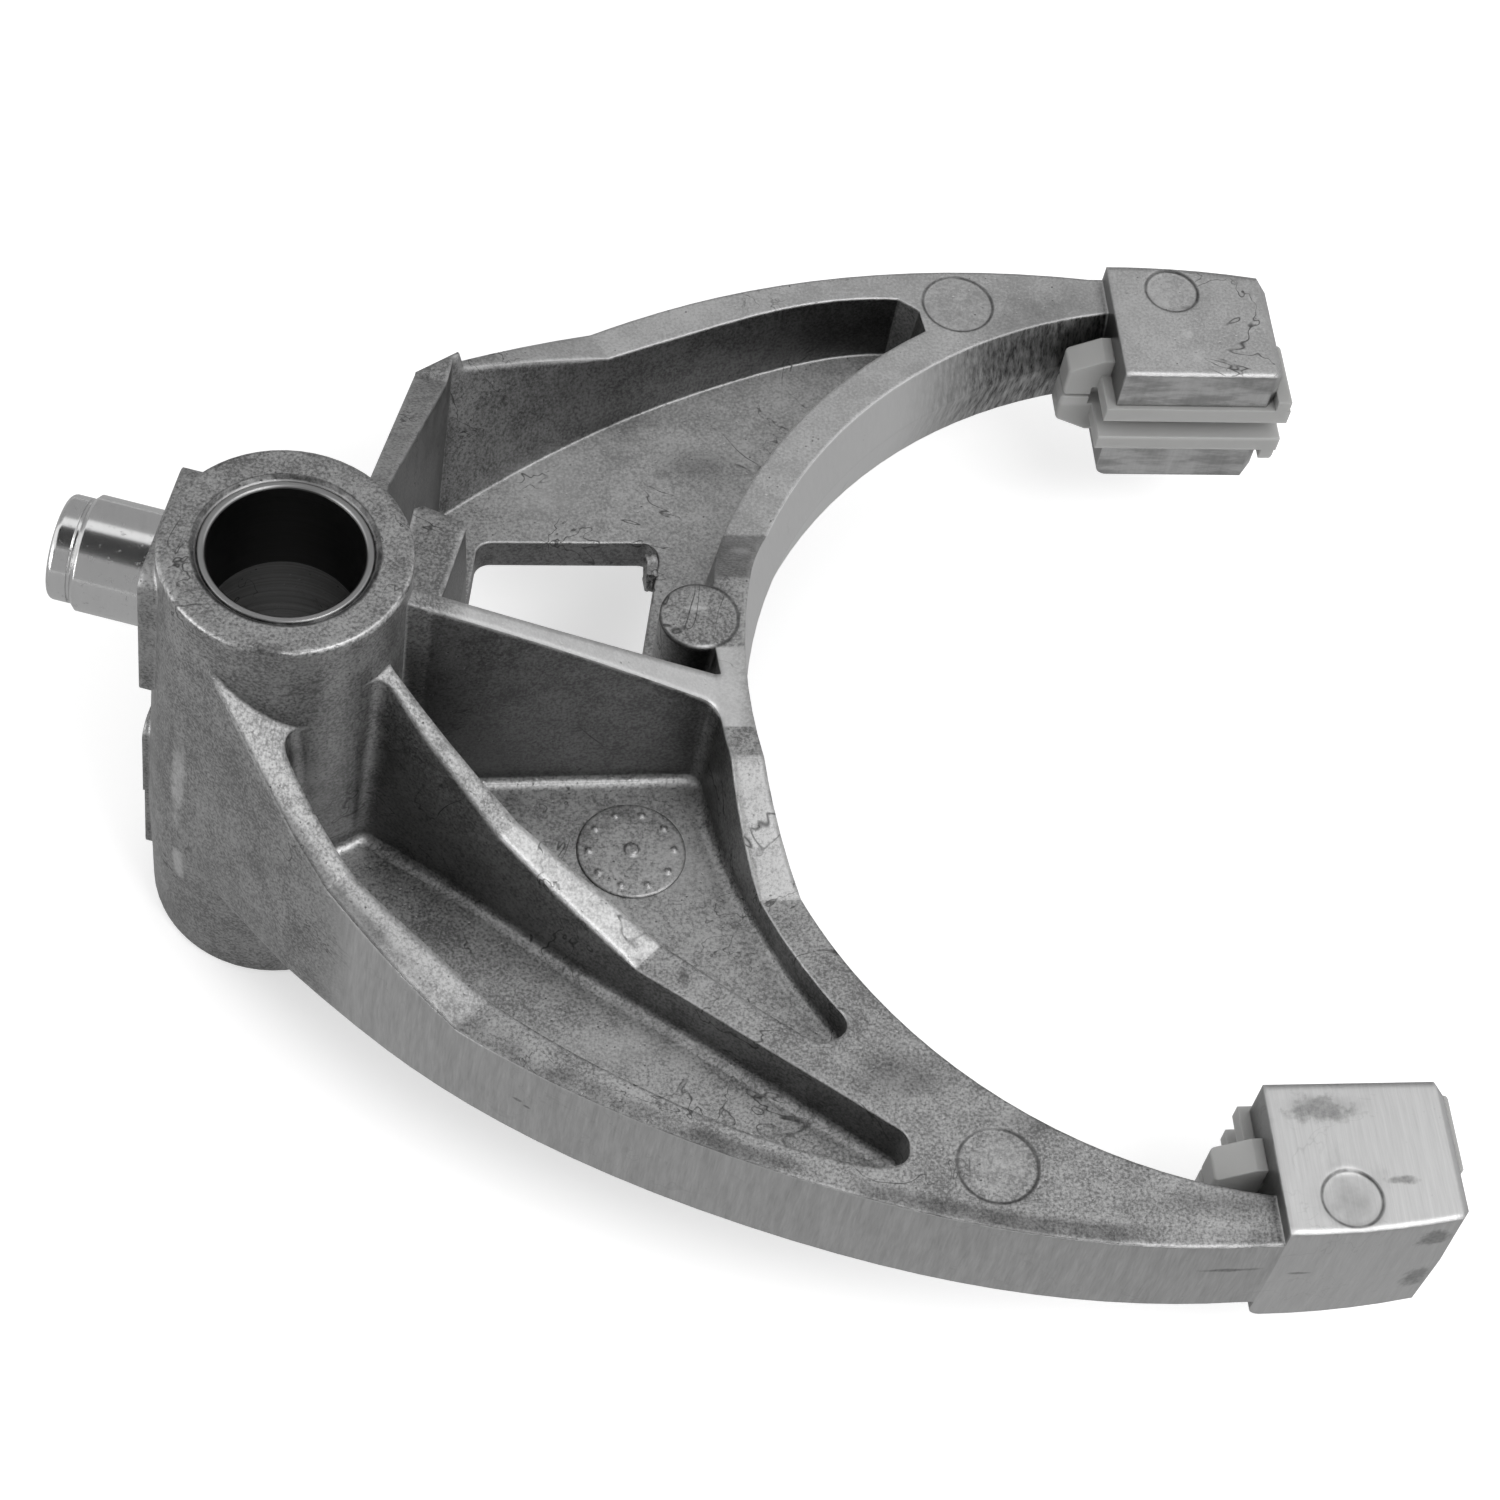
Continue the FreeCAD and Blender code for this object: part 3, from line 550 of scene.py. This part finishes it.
def skin_colour(tree, place, at, skin, look):
    """Colour of the die-cast skin: mottled, with light cloudy patches, painted shade on upright walls, in
    recesses and on front-facing walls, painted light on the far tops and the centre rib's top, and painted
    light and shade on the rib-end ramps.
    """
    dark = tuple(0.55 * value for value in look.skin)
    light = tuple(1.4 * value for value in look.skin)
    colour = tint(tree, scaled(tree, skin["Tone"], 0.5, 1.7), dark, light)
    # Painted shade: upright walls darkened where occlusion finds nearby walls, in the pockets and recesses
    painted_recess_shade = both(tree, at["upright"], step(tree, at["open"], 0.80, 0.35))
    # Painted shade: every upright face a little darker than the tops
    colour = tint(tree, scaled(tree, at["upright"], 0.0, 0.12), colour, grey(0.06))
    colour = tint(tree, scaled(tree, painted_recess_shade, 0.0, 0.55), colour, grey(0.05))
    clouds = spots_of(tree, place, LIGHT_CLOUDS, soft=True)
    colour = tint(tree, scaled(tree, clouds, 0.0, 0.42), colour, tuple(look.edge))
    # Painted light: flat tops in the far half lighter
    far_tops_painted_light = both(tree, step(tree, at["y"], 0.010, 0.060), step(tree, at["face_z"], 0.5, 0.8),
                    step(tree, at["x"], 0.030, 0.050))
    colour = tint(tree, scaled(tree, far_tops_painted_light, 0.0, 0.20), colour, grey(PAINTED_LIGHT_GREY))
    # Painted highlight: the centre rib's top lighter
    rib_top = both(tree, step(tree, at["y"], -0.0100, -0.0095), step(tree, at["y"], 0.0070, 0.0060),
                   between(tree, at["x"], 0.024, 0.080, 0.006), step(tree, at["face_z"], 0.7, 0.8),
                   step(tree, at["z"], 0.014, 0.018))
    colour = tint(tree, scaled(tree, rib_top, 0.0, 0.65), colour, grey(PAINTED_LIGHT_GREY))
    # Painted light and shade on the rib-end ramps
    colour = painted_ramp_light_and_shade(tree, colour, at)
    # Painted light: the higher far tops lighter still
    high_far_painted_light = both(tree, far_tops_painted_light, step(tree, at["z"], 0.004, 0.008))
    colour = tint(tree, scaled(tree, high_far_painted_light, 0.0, 0.28), colour, grey(PAINTED_LIGHT_GREY))
    # Painted shade: upright walls that face the front and right darkened
    towards_front = vector_maths(tree, "DOT_PRODUCT", "Value", at["normal"], (0.6, -0.8, 0.0))
    off_hub = step(tree, at["from_axis"], (HUB_REACH + 1.0) * MM, (HUB_REACH + 2.0) * MM)
    painted_front_wall_shade = both(tree, at["upright"], step(tree, towards_front, 0.40, 0.65), off_hub)
    return tint(tree, scaled(tree, painted_front_wall_shade, 0.0, 0.5), colour, grey(0.03))


def ground_colour(tree, place, at, line_tone, look):
    """Colour of the ground faces: fine lines, a scratched ring wall and smeared tip ends, with painted shade
    on the tips' hub-facing sides and in their recesses.
    """
    dark = tuple(0.75 * value for value in look.ground)
    light = tuple(1.2 * value for value in look.ground)
    colour = tint(tree, scaled(tree, line_tone, 0.5, 1.5), dark, light)
    near_tip = both(tree, at["tip"], step(tree, at["y"], -0.05, -0.06))
    colour = tint(tree, scaled(tree, near_tip, 0.0, 0.38), colour, grey(0.85))
    colour = tint(tree, scaled(tree, at["ring_wall"], 0.0, 0.8), colour, grey(0.85))
    scratches = noise(tree, stretched(tree, place, (1300.0, 1300.0, 120.0), (0.25, 0.0, 0.0)), 1.0, 3.0, 0.65)
    dark_wall = both(tree, at["ring_wall"], step(tree, at["x"], 0.112, 0.136), step(tree, at["y"], 0.0, 0.01))
    colour = tint(tree, both(tree, dark_wall, scaled(tree, scratches, 1.5, -0.1)), colour, grey(0.04))
    # Painted shade: the tips' faces that look towards the hub darkened
    painted_tip_side_shade = both(tree, at["tip"], step(tree, at["face_x"], -0.5, -0.8))
    colour = tint(tree, scaled(tree, painted_tip_side_shade, 0.0, 0.75), colour, grey(0.09))
    end_face = both(tree, at["tip"], at["far"], step(tree, at["face_y"], -0.6, -0.8))
    smears = noise(tree, stretched(tree, place, (120.0, 300.0, 420.0)), 1.0, 4.0, 0.6)
    smeared = tint(tree, step(tree, smears, 0.35, 0.65), grey(0.28), grey(0.74))
    colour = tint(tree, scaled(tree, end_face, 0.0, 0.55), colour, smeared)
    # Painted shade: upright tip faces darkened where occlusion finds nearby walls
    painted_tip_recess_shade = both(tree, at["tip"], at["upright"], step(tree, at["open"], 0.86, 0.55))
    return tint(tree, scaled(tree, painted_tip_recess_shade, 0.0, 0.6), colour, grey(0.07))


def bore_colour(tree, place, at, colour):
    """The bored wall between the two bushes, with its turning rings; its lighter turned finish is partly
    painted light.
    """
    bored = step(tree, at["from_axis"], (BORE_RADIUS + 0.3) * MM, (BORE_RADIUS + 0.1) * MM)
    rings = noise(tree, stretched(tree, place, (40.0, 40.0, 2200.0)), 1.0, 3.0, 0.6)
    # Lighter turned finish, partly painted light lifting the dim bore
    colour = tint(tree, bored, colour, grey(0.75))
    return tint(tree, both(tree, bored, rings), colour, grey(0.25))


def casting_edges(tree, place, at, look):
    """Rounded edges: wider on the ribs and the lower arm, fine at the hub's rim."""
    rib_tops = both(tree, step(tree, at["from_axis"], HUB_REACH * MM, (HUB_REACH + 1.0) * MM),
                    step(tree, at["z"], (ARM_TOP + 0.2) * MM, (ARM_TOP + 1.2) * MM))
    arm_edge = both(tree, at["lower_band"], step(tree, at["z"], 0.006, 0.008), unless(tree, at["tip"]))
    wide = either(tree, rib_tops, scaled(tree, arm_edge, 0.0, 0.4))
    hub_rim = both(tree, step(tree, at["from_axis"], (HUB_REACH + 0.5) * MM, HUB_REACH * MM),
                   step(tree, at["z"], (HUB_TOP - 3.5) * MM, (HUB_TOP - 2.5) * MM))
    radius = maths(tree, "MULTIPLY_ADD", wide, RIB_EXTRA_RADIUS * MM, look.edge_radius)
    radius = maths(tree, "MULTIPLY_ADD", hub_rim, -HUB_RIM_SHARPER * MM, radius)
    return use_group(tree, GROUPS["edges"], Radius=radius, Place=place)


def casting_dark_marks(tree, place, at, skin):
    """Stains, nicks, outlines, dark patches, a dark line along the lower arm's outer top edge and a dark
    joint line round the bush.
    """
    spots = spots_of(tree, place, DARK_SPOTS)
    shades = spots_of(tree, place, DARK_CLOUDS, soft=True)
    patchy = step(tree, noise(tree, place, 60.0, 4.0, 0.6), 0.35, 0.60)
    # A dark line just inside the lower arm's outer top edge
    near_rim = step(tree, at["from_arc"], (LOWER_SIDE_RADIUS - 4.6) * MM, (LOWER_SIDE_RADIUS - 2.6) * MM)
    on_top = step(tree, at["z"], (ARM_TOP - 1.0) * MM, (ARM_TOP - 0.2) * MM)
    rim_line = both(tree, near_rim, at["flat"], unless(tree, at["tip"]), patchy, on_top)
    from_seat = maths(tree, "ABSOLUTE", maths(tree, "SUBTRACT", at["from_axis"], (BORE_RADIUS + 0.6) * MM))
    ragged = scaled(tree, noise(tree, place, 500.0, 4.0, 0.6), 0.2, 1.5)
    seat_line = both(tree, step(tree, from_seat, 0.6 * MM, 0.2 * MM), ragged,
                     step(tree, at["z"], (HUB_TOP - 2.5) * MM, (HUB_TOP - 2.0) * MM))
    return either(tree, both(tree, skin["Stains"], scaled(tree, at["ground"], 0.8, 0.12)),
                  scaled(tree, spots, 0.0, 0.6), scaled(tree, ejector_rings(tree, place), 0.0, 0.8),
                  scaled(tree, shades, 0.0, 0.5), scaled(tree, rim_line, 0.0, 0.6),
                  scaled(tree, seat_line, 0.0, 0.85))


def casting_material(look):
    material, tree, shader, place = new_material("cast_aluminium_worn")
    at = casting_places(tree, place)
    skin = use_group(tree, GROUPS["skin"], Place=place)
    side_place = stretched(tree, place, (900.0, 900.0, 90.0), (0.0, 0.5, 0.0))
    side_lines = use_group(tree, GROUPS["ground"], Place=side_place)
    top_lines = use_group(tree, GROUPS["ground"], Place=stretched(tree, place, (1500.0, 60.0, 300.0)))
    line_tone = maths(tree, "ADD", both(tree, side_lines["Tone"], unless(tree, at["flat"])),
                      both(tree, top_lines["Tone"], at["flat"]))
    colour = tint(tree, at["ground"], skin_colour(tree, place, at, skin, look),
                  ground_colour(tree, place, at, line_tone, look))
    colour = bore_colour(tree, place, at, colour)
    edges = casting_edges(tree, place, at, look)
    # Worn edges and painted edge highlights: the rounded-edge mask lightens convex and concave edges alike
    colour = tint(tree, scaled(tree, edges["Mask"], 0.0, 0.5), colour, tuple(look.edge))
    chips = spots_of(tree, place, BRIGHT_SPOTS)
    colour = tint(tree, scaled(tree, chips, 0.0, 0.6), colour, grey(0.8))
    colour = tint(tree, casting_dark_marks(tree, place, at, skin), colour, tuple(look.stain))
    tree.links.new(colour, shader.inputs["Base Color"])
    shader.inputs["Metallic"].default_value = 1.0
    roughness = scaled(tree, skin["Tone"], 0.44, 0.54)
    tree.links.new(tint_value(tree, at["ground"], roughness, 0.36), shader.inputs["Roughness"])
    height = maths(tree, "ADD", both(tree, skin["Height"], unless(tree, at["ground"])),
                   both(tree, line_tone, at["ground"]))
    add_bump(tree, shader, height, edges["Normal"], strength=0.35, distance=0.12)
    return material


def bush_material(look):
    material, tree, shader, place = new_material("bush_steel_turned")
    radius = plan_distance(tree, place)
    inside = step(tree, radius, (RAIL_RADIUS + 0.25) * MM, (RAIL_RADIUS + 0.12) * MM)
    turning = put(tree, "TexNoise", {"Vector": stretched(tree, place, (60.0, 60.0, 2500.0)), "Scale": 1.0,
                                     "Detail": 3.0}).outputs["Fac"]
    # Dark liner colour inside the bush, partly painted shade deep in the bore
    colour = tint(tree, inside, tuple(look.bush), tuple(look.liner))
    colour = tint(tree, scaled(tree, turning, 0.0, 0.35), colour, grey(0.02))
    joint = step(tree, radius, (BORE_RADIUS - 0.35) * MM, (BORE_RADIUS - 0.2) * MM)
    patchy = scaled(tree, noise(tree, place, 420.0, 4.0, 0.6), 0.3, 1.4)
    colour = tint(tree, both(tree, joint, patchy), colour, grey(0.015))
    tree.links.new(colour, shader.inputs["Base Color"])
    shader.inputs["Metallic"].default_value = 1.0
    shader.inputs["Roughness"].default_value = 0.34
    edges = use_group(tree, GROUPS["edges"], Radius=STEEL_EDGE_RADIUS * MM, Place=place)
    add_bump(tree, shader, turning, edges["Normal"], strength=0.2, distance=0.1)
    return material


def pin_material(look):
    material, tree, shader, place = new_material("polished_steel_worn")
    turn = (0.0, 0.0, math.radians(-PIN_AZIMUTH))
    rings = noise(tree, stretched(tree, place, (900.0, 60.0, 60.0), turn), 1.0, 3.0, 0.6)
    spots = step(tree, noise(tree, place, 900.0, 4.0, 0.7), 0.58, 0.70)
    dull = tuple(0.6 * value for value in look.pin)
    colour = tint(tree, scaled(tree, rings, 0.0, 0.25), tuple(look.pin), dull)
    colour = tint(tree, scaled(tree, spots, 0.0, 0.35), colour, grey(0.2))
    tree.links.new(colour, shader.inputs["Base Color"])
    shader.inputs["Metallic"].default_value = 1.0
    tree.links.new(scaled(tree, spots, 0.17, 0.34), shader.inputs["Roughness"])
    edges = use_group(tree, GROUPS["edges"], Radius=STEEL_EDGE_RADIUS * MM, Place=place)
    add_bump(tree, shader, rings, edges["Normal"], strength=0.06, distance=0.05)
    return material


def nylon_material(look):
    material, tree, shader, place = new_material("nylon_moulded")
    soft = noise(tree, place, 160.0, 3.0, 0.5)
    fine = noise(tree, place, 1800.0, 2.0, 0.5)
    shaded = tuple(0.82 * value for value in look.nylon)
    colour = tint(tree, scaled(tree, soft, 0.0, 0.6), tuple(look.nylon), shaded)
    height = put(tree, "SeparateXYZ", {0: place}).outputs[2]
    lit_lip = both(tree, step(tree, height, 0.0016, -0.0024), step(tree, height, -0.0034, -0.0024))
    colour = tint(tree, scaled(tree, lit_lip, 0.0, 0.15), colour, grey(0.75))
    tree.links.new(colour, shader.inputs["Base Color"])
    tree.links.new(scaled(tree, soft, 0.30, 0.46), shader.inputs["Roughness"])
    shader.inputs["Subsurface Weight"].default_value = 0.35
    shader.inputs["Subsurface Radius"].default_value = (0.004, 0.004, 0.004)
    shader.inputs["Subsurface Scale"].default_value = 1.0
    edges = use_group(tree, GROUPS["edges"], Radius=look.edge_round, Place=place)
    add_bump(tree, shader, fine, edges["Normal"], strength=0.1, distance=0.1)
    return material


def start_piece(add, **settings):
    """Deselects everything and adds a primitive, which is returned."""
    bpy.ops.object.select_all(action="DESELECT")
    add(**settings)
    return bpy.context.object


def bevel_edges(piece, width):
    """Bevels the piece's edges with an applied modifier."""
    bevel = piece.modifiers.new("Bevel", "BEVEL")
    bevel.width = width
    bevel.segments = 2
    bpy.context.view_layer.objects.active = piece
    bpy.ops.object.modifier_apply(modifier=bevel.name)


def finish_piece(piece, name):
    """Puts the piece's place into its mesh, gives it the casting's finish and lets it ride with the fork."""
    bpy.ops.object.select_all(action="DESELECT")
    piece.select_set(True)
    bpy.context.view_layer.objects.active = piece
    bpy.ops.object.transform_apply(location=True, rotation=True, scale=True)
    piece.name = name
    piece.data.materials.clear()
    piece.data.materials.append(bpy.data.materials["cast_aluminium_worn"])
    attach(piece, "root")


def add_pad(centre, radius):
    """A low round pad: a cylinder with its top inset and raised a little, and its edges bevelled."""
    pad = start_piece(bpy.ops.mesh.primitive_cylinder_add, vertices=96, radius=radius, depth=PAD_HEIGHT * MM,
                      location=centre)
    bpy.ops.object.mode_set(mode="EDIT")
    bpy.ops.mesh.select_all(action="DESELECT")
    bpy.context.tool_settings.mesh_select_mode = (False, False, True)
    bpy.ops.object.mode_set(mode="OBJECT")
    for polygon in pad.data.polygons:
        polygon.select = polygon.normal.z > 0.9
    bpy.ops.object.mode_set(mode="EDIT")
    bpy.ops.mesh.inset(thickness=radius * 0.42, depth=PAD_HEIGHT * MM * 0.3)
    bpy.ops.mesh.select_all(action="SELECT")
    bpy.ops.mesh.normals_make_consistent(inside=False)
    bpy.ops.object.mode_set(mode="OBJECT")
    bevel_edges(pad, PAD_HEIGHT * MM * 0.35)
    return pad


def add_dot(centre, radius):
    """A small dot: a short cylinder with bevelled edges."""
    dot = start_piece(bpy.ops.mesh.primitive_cylinder_add, vertices=20, radius=radius, depth=DOT_HEIGHT * MM,
                      location=centre)
    bevel_edges(dot, DOT_HEIGHT * MM * 0.45)
    return dot


def copy_piece(piece, place):
    """A copy with its own mesh at another place."""
    twin = piece.copy()
    twin.data = piece.data.copy()
    twin.location = place
    bpy.context.scene.collection.objects.link(twin)
    return twin


def join_pieces(pieces):
    bpy.ops.object.select_all(action="DESELECT")
    for piece in pieces:
        piece.select_set(True)
    bpy.context.view_layer.objects.active = pieces[0]
    bpy.ops.object.join()
    return pieces[0]


class FORK_OT_insert_mark(bpy.types.Operator):
    """Adds the plain round die-insert mark on the floor of the middle pocket."""

    bl_idname = "fork.insert_mark"
    bl_label = "Add the insert mark"

    def execute(self, context):
        look = context.scene.fork_casting
        x, y, z = in_metres(INSERT_CENTRE)
        pad = add_pad((x, y, z + 0.1 * MM), look.insert_radius)
        reach = look.insert_radius - DOT_INSET * MM
        places = []
        for index in range(INSERT_DOTS):
            angle = 2.0 * math.pi * index / INSERT_DOTS
            places.append((x + reach * math.cos(angle), y + reach * math.sin(angle), z + 0.4 * MM))
        first = add_dot(places[0], DOT_RADIUS * MM)
        dots = [first] + [copy_piece(first, place) for place in places[1:]]
        middle = add_dot((x, y, z + 0.6 * MM), MIDDLE_DOT_RADIUS * MM)
        finish_piece(join_pieces([pad, *dots, middle]), "insert_mark")
        return {"FINISHED"}


class FORK_OT_window_burr(bpy.types.Operator):
    """Adds the ragged burr of metal in the corner of the web's window."""

    bl_idname = "fork.window_burr"
    bl_label = "Add the window burr"

    def execute(self, context):
        burr = start_piece(bpy.ops.mesh.primitive_cube_add, size=1.0, location=in_metres(BURR_CENTRE))
        burr.scale = in_metres(BURR_SIZE)
        bpy.ops.object.transform_apply(location=False, rotation=False, scale=True)
        bpy.ops.object.mode_set(mode="EDIT")
        bpy.ops.mesh.select_all(action="SELECT")
        bpy.ops.mesh.subdivide(number_cuts=5, smoothness=0.0)
        bpy.ops.transform.vertex_random(offset=BURR_ROUGHNESS * MM, seed=7)
        bpy.ops.mesh.vertices_smooth(factor=0.4, repeat=1)
        bpy.ops.mesh.normals_make_consistent(inside=False)
        bpy.ops.object.mode_set(mode="OBJECT")
        finish_piece(burr, "window_burr")
        return {"FINISHED"}


class FORK_OT_casting_finish(bpy.types.Operator):
    """Gives the fork body its cast and ground finish."""

    bl_idname = "fork.casting_finish"
    bl_label = "Finish the casting"

    def execute(self, context):
        assign("fork_body", casting_material(context.scene.fork_casting))
        return {"FINISHED"}


class FORK_OT_steel_finish(bpy.types.Operator):
    """Gives the bushes and the pin their finishes."""

    bl_idname = "fork.steel_finish"
    bl_label = "Finish the steel pieces"

    def execute(self, context):
        look = context.scene.fork_steel
        turned = bush_material(look)
        assign("bush_upper", turned)
        assign("bush_lower", turned)
        assign("shift_pin", pin_material(look))
        return {"FINISHED"}


class FORK_OT_shoe_finish(bpy.types.Operator):
    """Gives the nylon shoes their finish."""

    bl_idname = "fork.shoe_finish"
    bl_label = "Finish the shoes"

    def execute(self, context):
        nylon = nylon_material(context.scene.fork_shoes)
        assign("shoe_far", nylon)
        assign("shoe_near", nylon)
        return {"FINISHED"}


def seen_rays(tree):
    """Mask of the rays that see the backdrop itself: camera, mirror and transmission rays."""
    path = put(tree, "LightPath").outputs
    return either(tree, path["Is Camera Ray"], path["Is Glossy Ray"], path["Is Transmission Ray"])


def add_floor():
    """A white floor just under the fork."""
    below = CAD_BOX[0][2] - FLOOR_GAP * MM
    floor = start_piece(bpy.ops.mesh.primitive_plane_add, size=6.0, location=(0.1, 0.0, below))
    floor.name = "studio_floor"
    bpy.ops.object.transform_apply(location=True, rotation=False, scale=False)
    material, tree = bare_material("studio_floor")
    diffuse = put(tree, "BsdfDiffuse", {"Color": (0.9, 0.9, 0.9, 1.0)})
    glow = put(tree, "Emission", {"Color": (1.0, 1.0, 1.0, 1.0),
                                  "Strength": scaled(tree, seen_rays(tree), 0.0, 0.35)})
    total = put(tree, "AddShader", {0: diffuse.outputs[0], 1: glow.outputs[0]})
    put(tree, "OutputMaterial", {"Surface": total.outputs[0]})
    floor.data.materials.append(material)


def add_card(name, place, turn, size, level):
    """A grey card that only shows in reflections."""
    card = start_piece(bpy.ops.mesh.primitive_plane_add, size=1.0, location=place, rotation=turn)
    card.name = name
    card.scale = (*size, 1.0)
    material, tree = bare_material(name)
    glow = put(tree, "Emission", {"Color": (level, level, level, 1.0), "Strength": 1.0})
    put(tree, "OutputMaterial", {"Surface": glow.outputs[0]})
    card.data.materials.append(material)
    card.visible_camera = False
    card.visible_diffuse = False
    card.visible_shadow = False
    card.visible_transmission = False


def add_cards():
    """The cards in front, behind, over and under the fork that make its light and dark bands."""
    upright = math.radians(90.0)
    floor = CAD_BOX[0][2]
    add_card("front_card", (0.0, -1.0, 0.60 + floor), (upright, 0.0, 0.0), (3.0, 1.30), 0.05)
    add_card("pin_card", (-0.40, -0.98, 0.64 + floor), (upright, 0.0, 0.0), (0.8, 1.40), 0.38)
    add_card("back_card", (0.0, 1.0, 0.85 + floor), (upright, 0.0, 0.0), (3.0, 1.9), 0.36)
    add_card("top_card", (-0.28, -0.28, 0.95), (0.0, 0.0, 0.0), (0.50, 0.92), 0.04)
    add_card("table_card", (0.0, 0.0, 0.0003 + floor), (0.0, 0.0, 0.0), (1.6, 1.6), 0.42)


def add_lamp(name, place, aim, size, power):
    """A rectangular softbox that looks at a point."""
    bpy.ops.object.light_add(type="AREA", location=place)
    lamp = bpy.context.object
    lamp.name = name
    lamp.data.shape = "RECTANGLE"
    lamp.data.size, lamp.data.size_y = size
    lamp.data.energy = power
    direction = Vector(aim) - Vector(place)
    lamp.rotation_euler = direction.to_track_quat("-Z", "Y").to_euler()


def add_world(strength):
    """A white world that lights the fork with its own strength."""
    world = bpy.data.worlds.new("studio")
    bpy.context.scene.world = world
    world.use_nodes = True
    tree = world.node_tree
    tree.nodes.clear()
    light = put(tree, "Background", {"Color": (1.0, 1.0, 1.0, 1.0),
                                     "Strength": scaled(tree, seen_rays(tree), strength, 1.0)})
    put(tree, "OutputWorld", {"Surface": light.outputs[0]})


class FORK_OT_stage(bpy.types.Operator):
    """Sets up the floor, the lamps and the camera."""

    bl_idname = "fork.stage"
    bl_label = "Set up the studio"

    def execute(self, context):
        studio = context.scene.fork_studio
        add_floor()
        add_world(studio.ambient)
        add_cards()
        add_lamp("key_softbox", (0.40, -0.42, 0.75), (0.08, 0.0, 0.0), (0.5, 0.35), studio.key)
        add_lamp("side_softbox", (-0.60, -0.25, 0.15), (0.0, 0.0, 0.0), (0.4, 0.4), studio.side)
        data = bpy.data.cameras.new("photo_camera")
        data.lens = studio.lens
        data.sensor_width = 36.0
        data.clip_start = 0.01
        data.clip_end = 20.0
        camera = bpy.data.objects.new("photo_camera", data)
        camera.location = studio.camera_place
        camera.rotation_euler = Euler(studio.camera_turn, "XYZ")
        context.scene.collection.objects.link(camera)
        context.scene.camera = camera
        context.scene.view_settings.view_transform = "Standard"
        return {"FINISHED"}


class FORK_PT_panel(bpy.types.Panel):
    """Lists the fork's finishes, details and studio."""

    bl_idname = "FORK_PT_panel"
    bl_label = "Shift Fork"
    bl_space_type = "VIEW_3D"
    bl_region_type = "UI"
    bl_category = "Shift Fork"

    def draw(self, context):
        scene = context.scene
        for settings in (scene.fork_casting, scene.fork_steel, scene.fork_shoes, scene.fork_studio):
            box = self.layout.box()
            for name in settings.__annotations__:
                box.prop(settings, name)
        for operator in OPERATORS:
            self.layout.operator(operator.bl_idname)


GROUP_TYPES = {
    "fork_casting": CastingFinish,
    "fork_steel": SteelFinish,
    "fork_shoes": ShoeFinish,
    "fork_studio": StudioSettings,
}
OPERATORS = [FORK_OT_casting_finish, FORK_OT_insert_mark, FORK_OT_window_burr, FORK_OT_steel_finish,
             FORK_OT_shoe_finish, FORK_OT_stage]


def register():
    for cls in [*GROUP_TYPES.values(), *OPERATORS, FORK_PT_panel]:
        bpy.utils.register_class(cls)
    for name, cls in GROUP_TYPES.items():
        setattr(bpy.types.Scene, name, bpy.props.PointerProperty(type=cls))


def unregister():
    for name in GROUP_TYPES:
        delattr(bpy.types.Scene, name)
    for cls in [FORK_PT_panel, *reversed(OPERATORS), *reversed(list(GROUP_TYPES.values()))]:
        bpy.utils.unregister_class(cls)


def main():
    register()
    make_groups()
    bpy.ops.fork.casting_finish()
    bpy.ops.fork.insert_mark()
    bpy.ops.fork.window_burr()
    bpy.ops.fork.steel_finish()
    bpy.ops.fork.shoe_finish()
    bpy.ops.fork.stage()


if __name__ == "__main__":
    main()
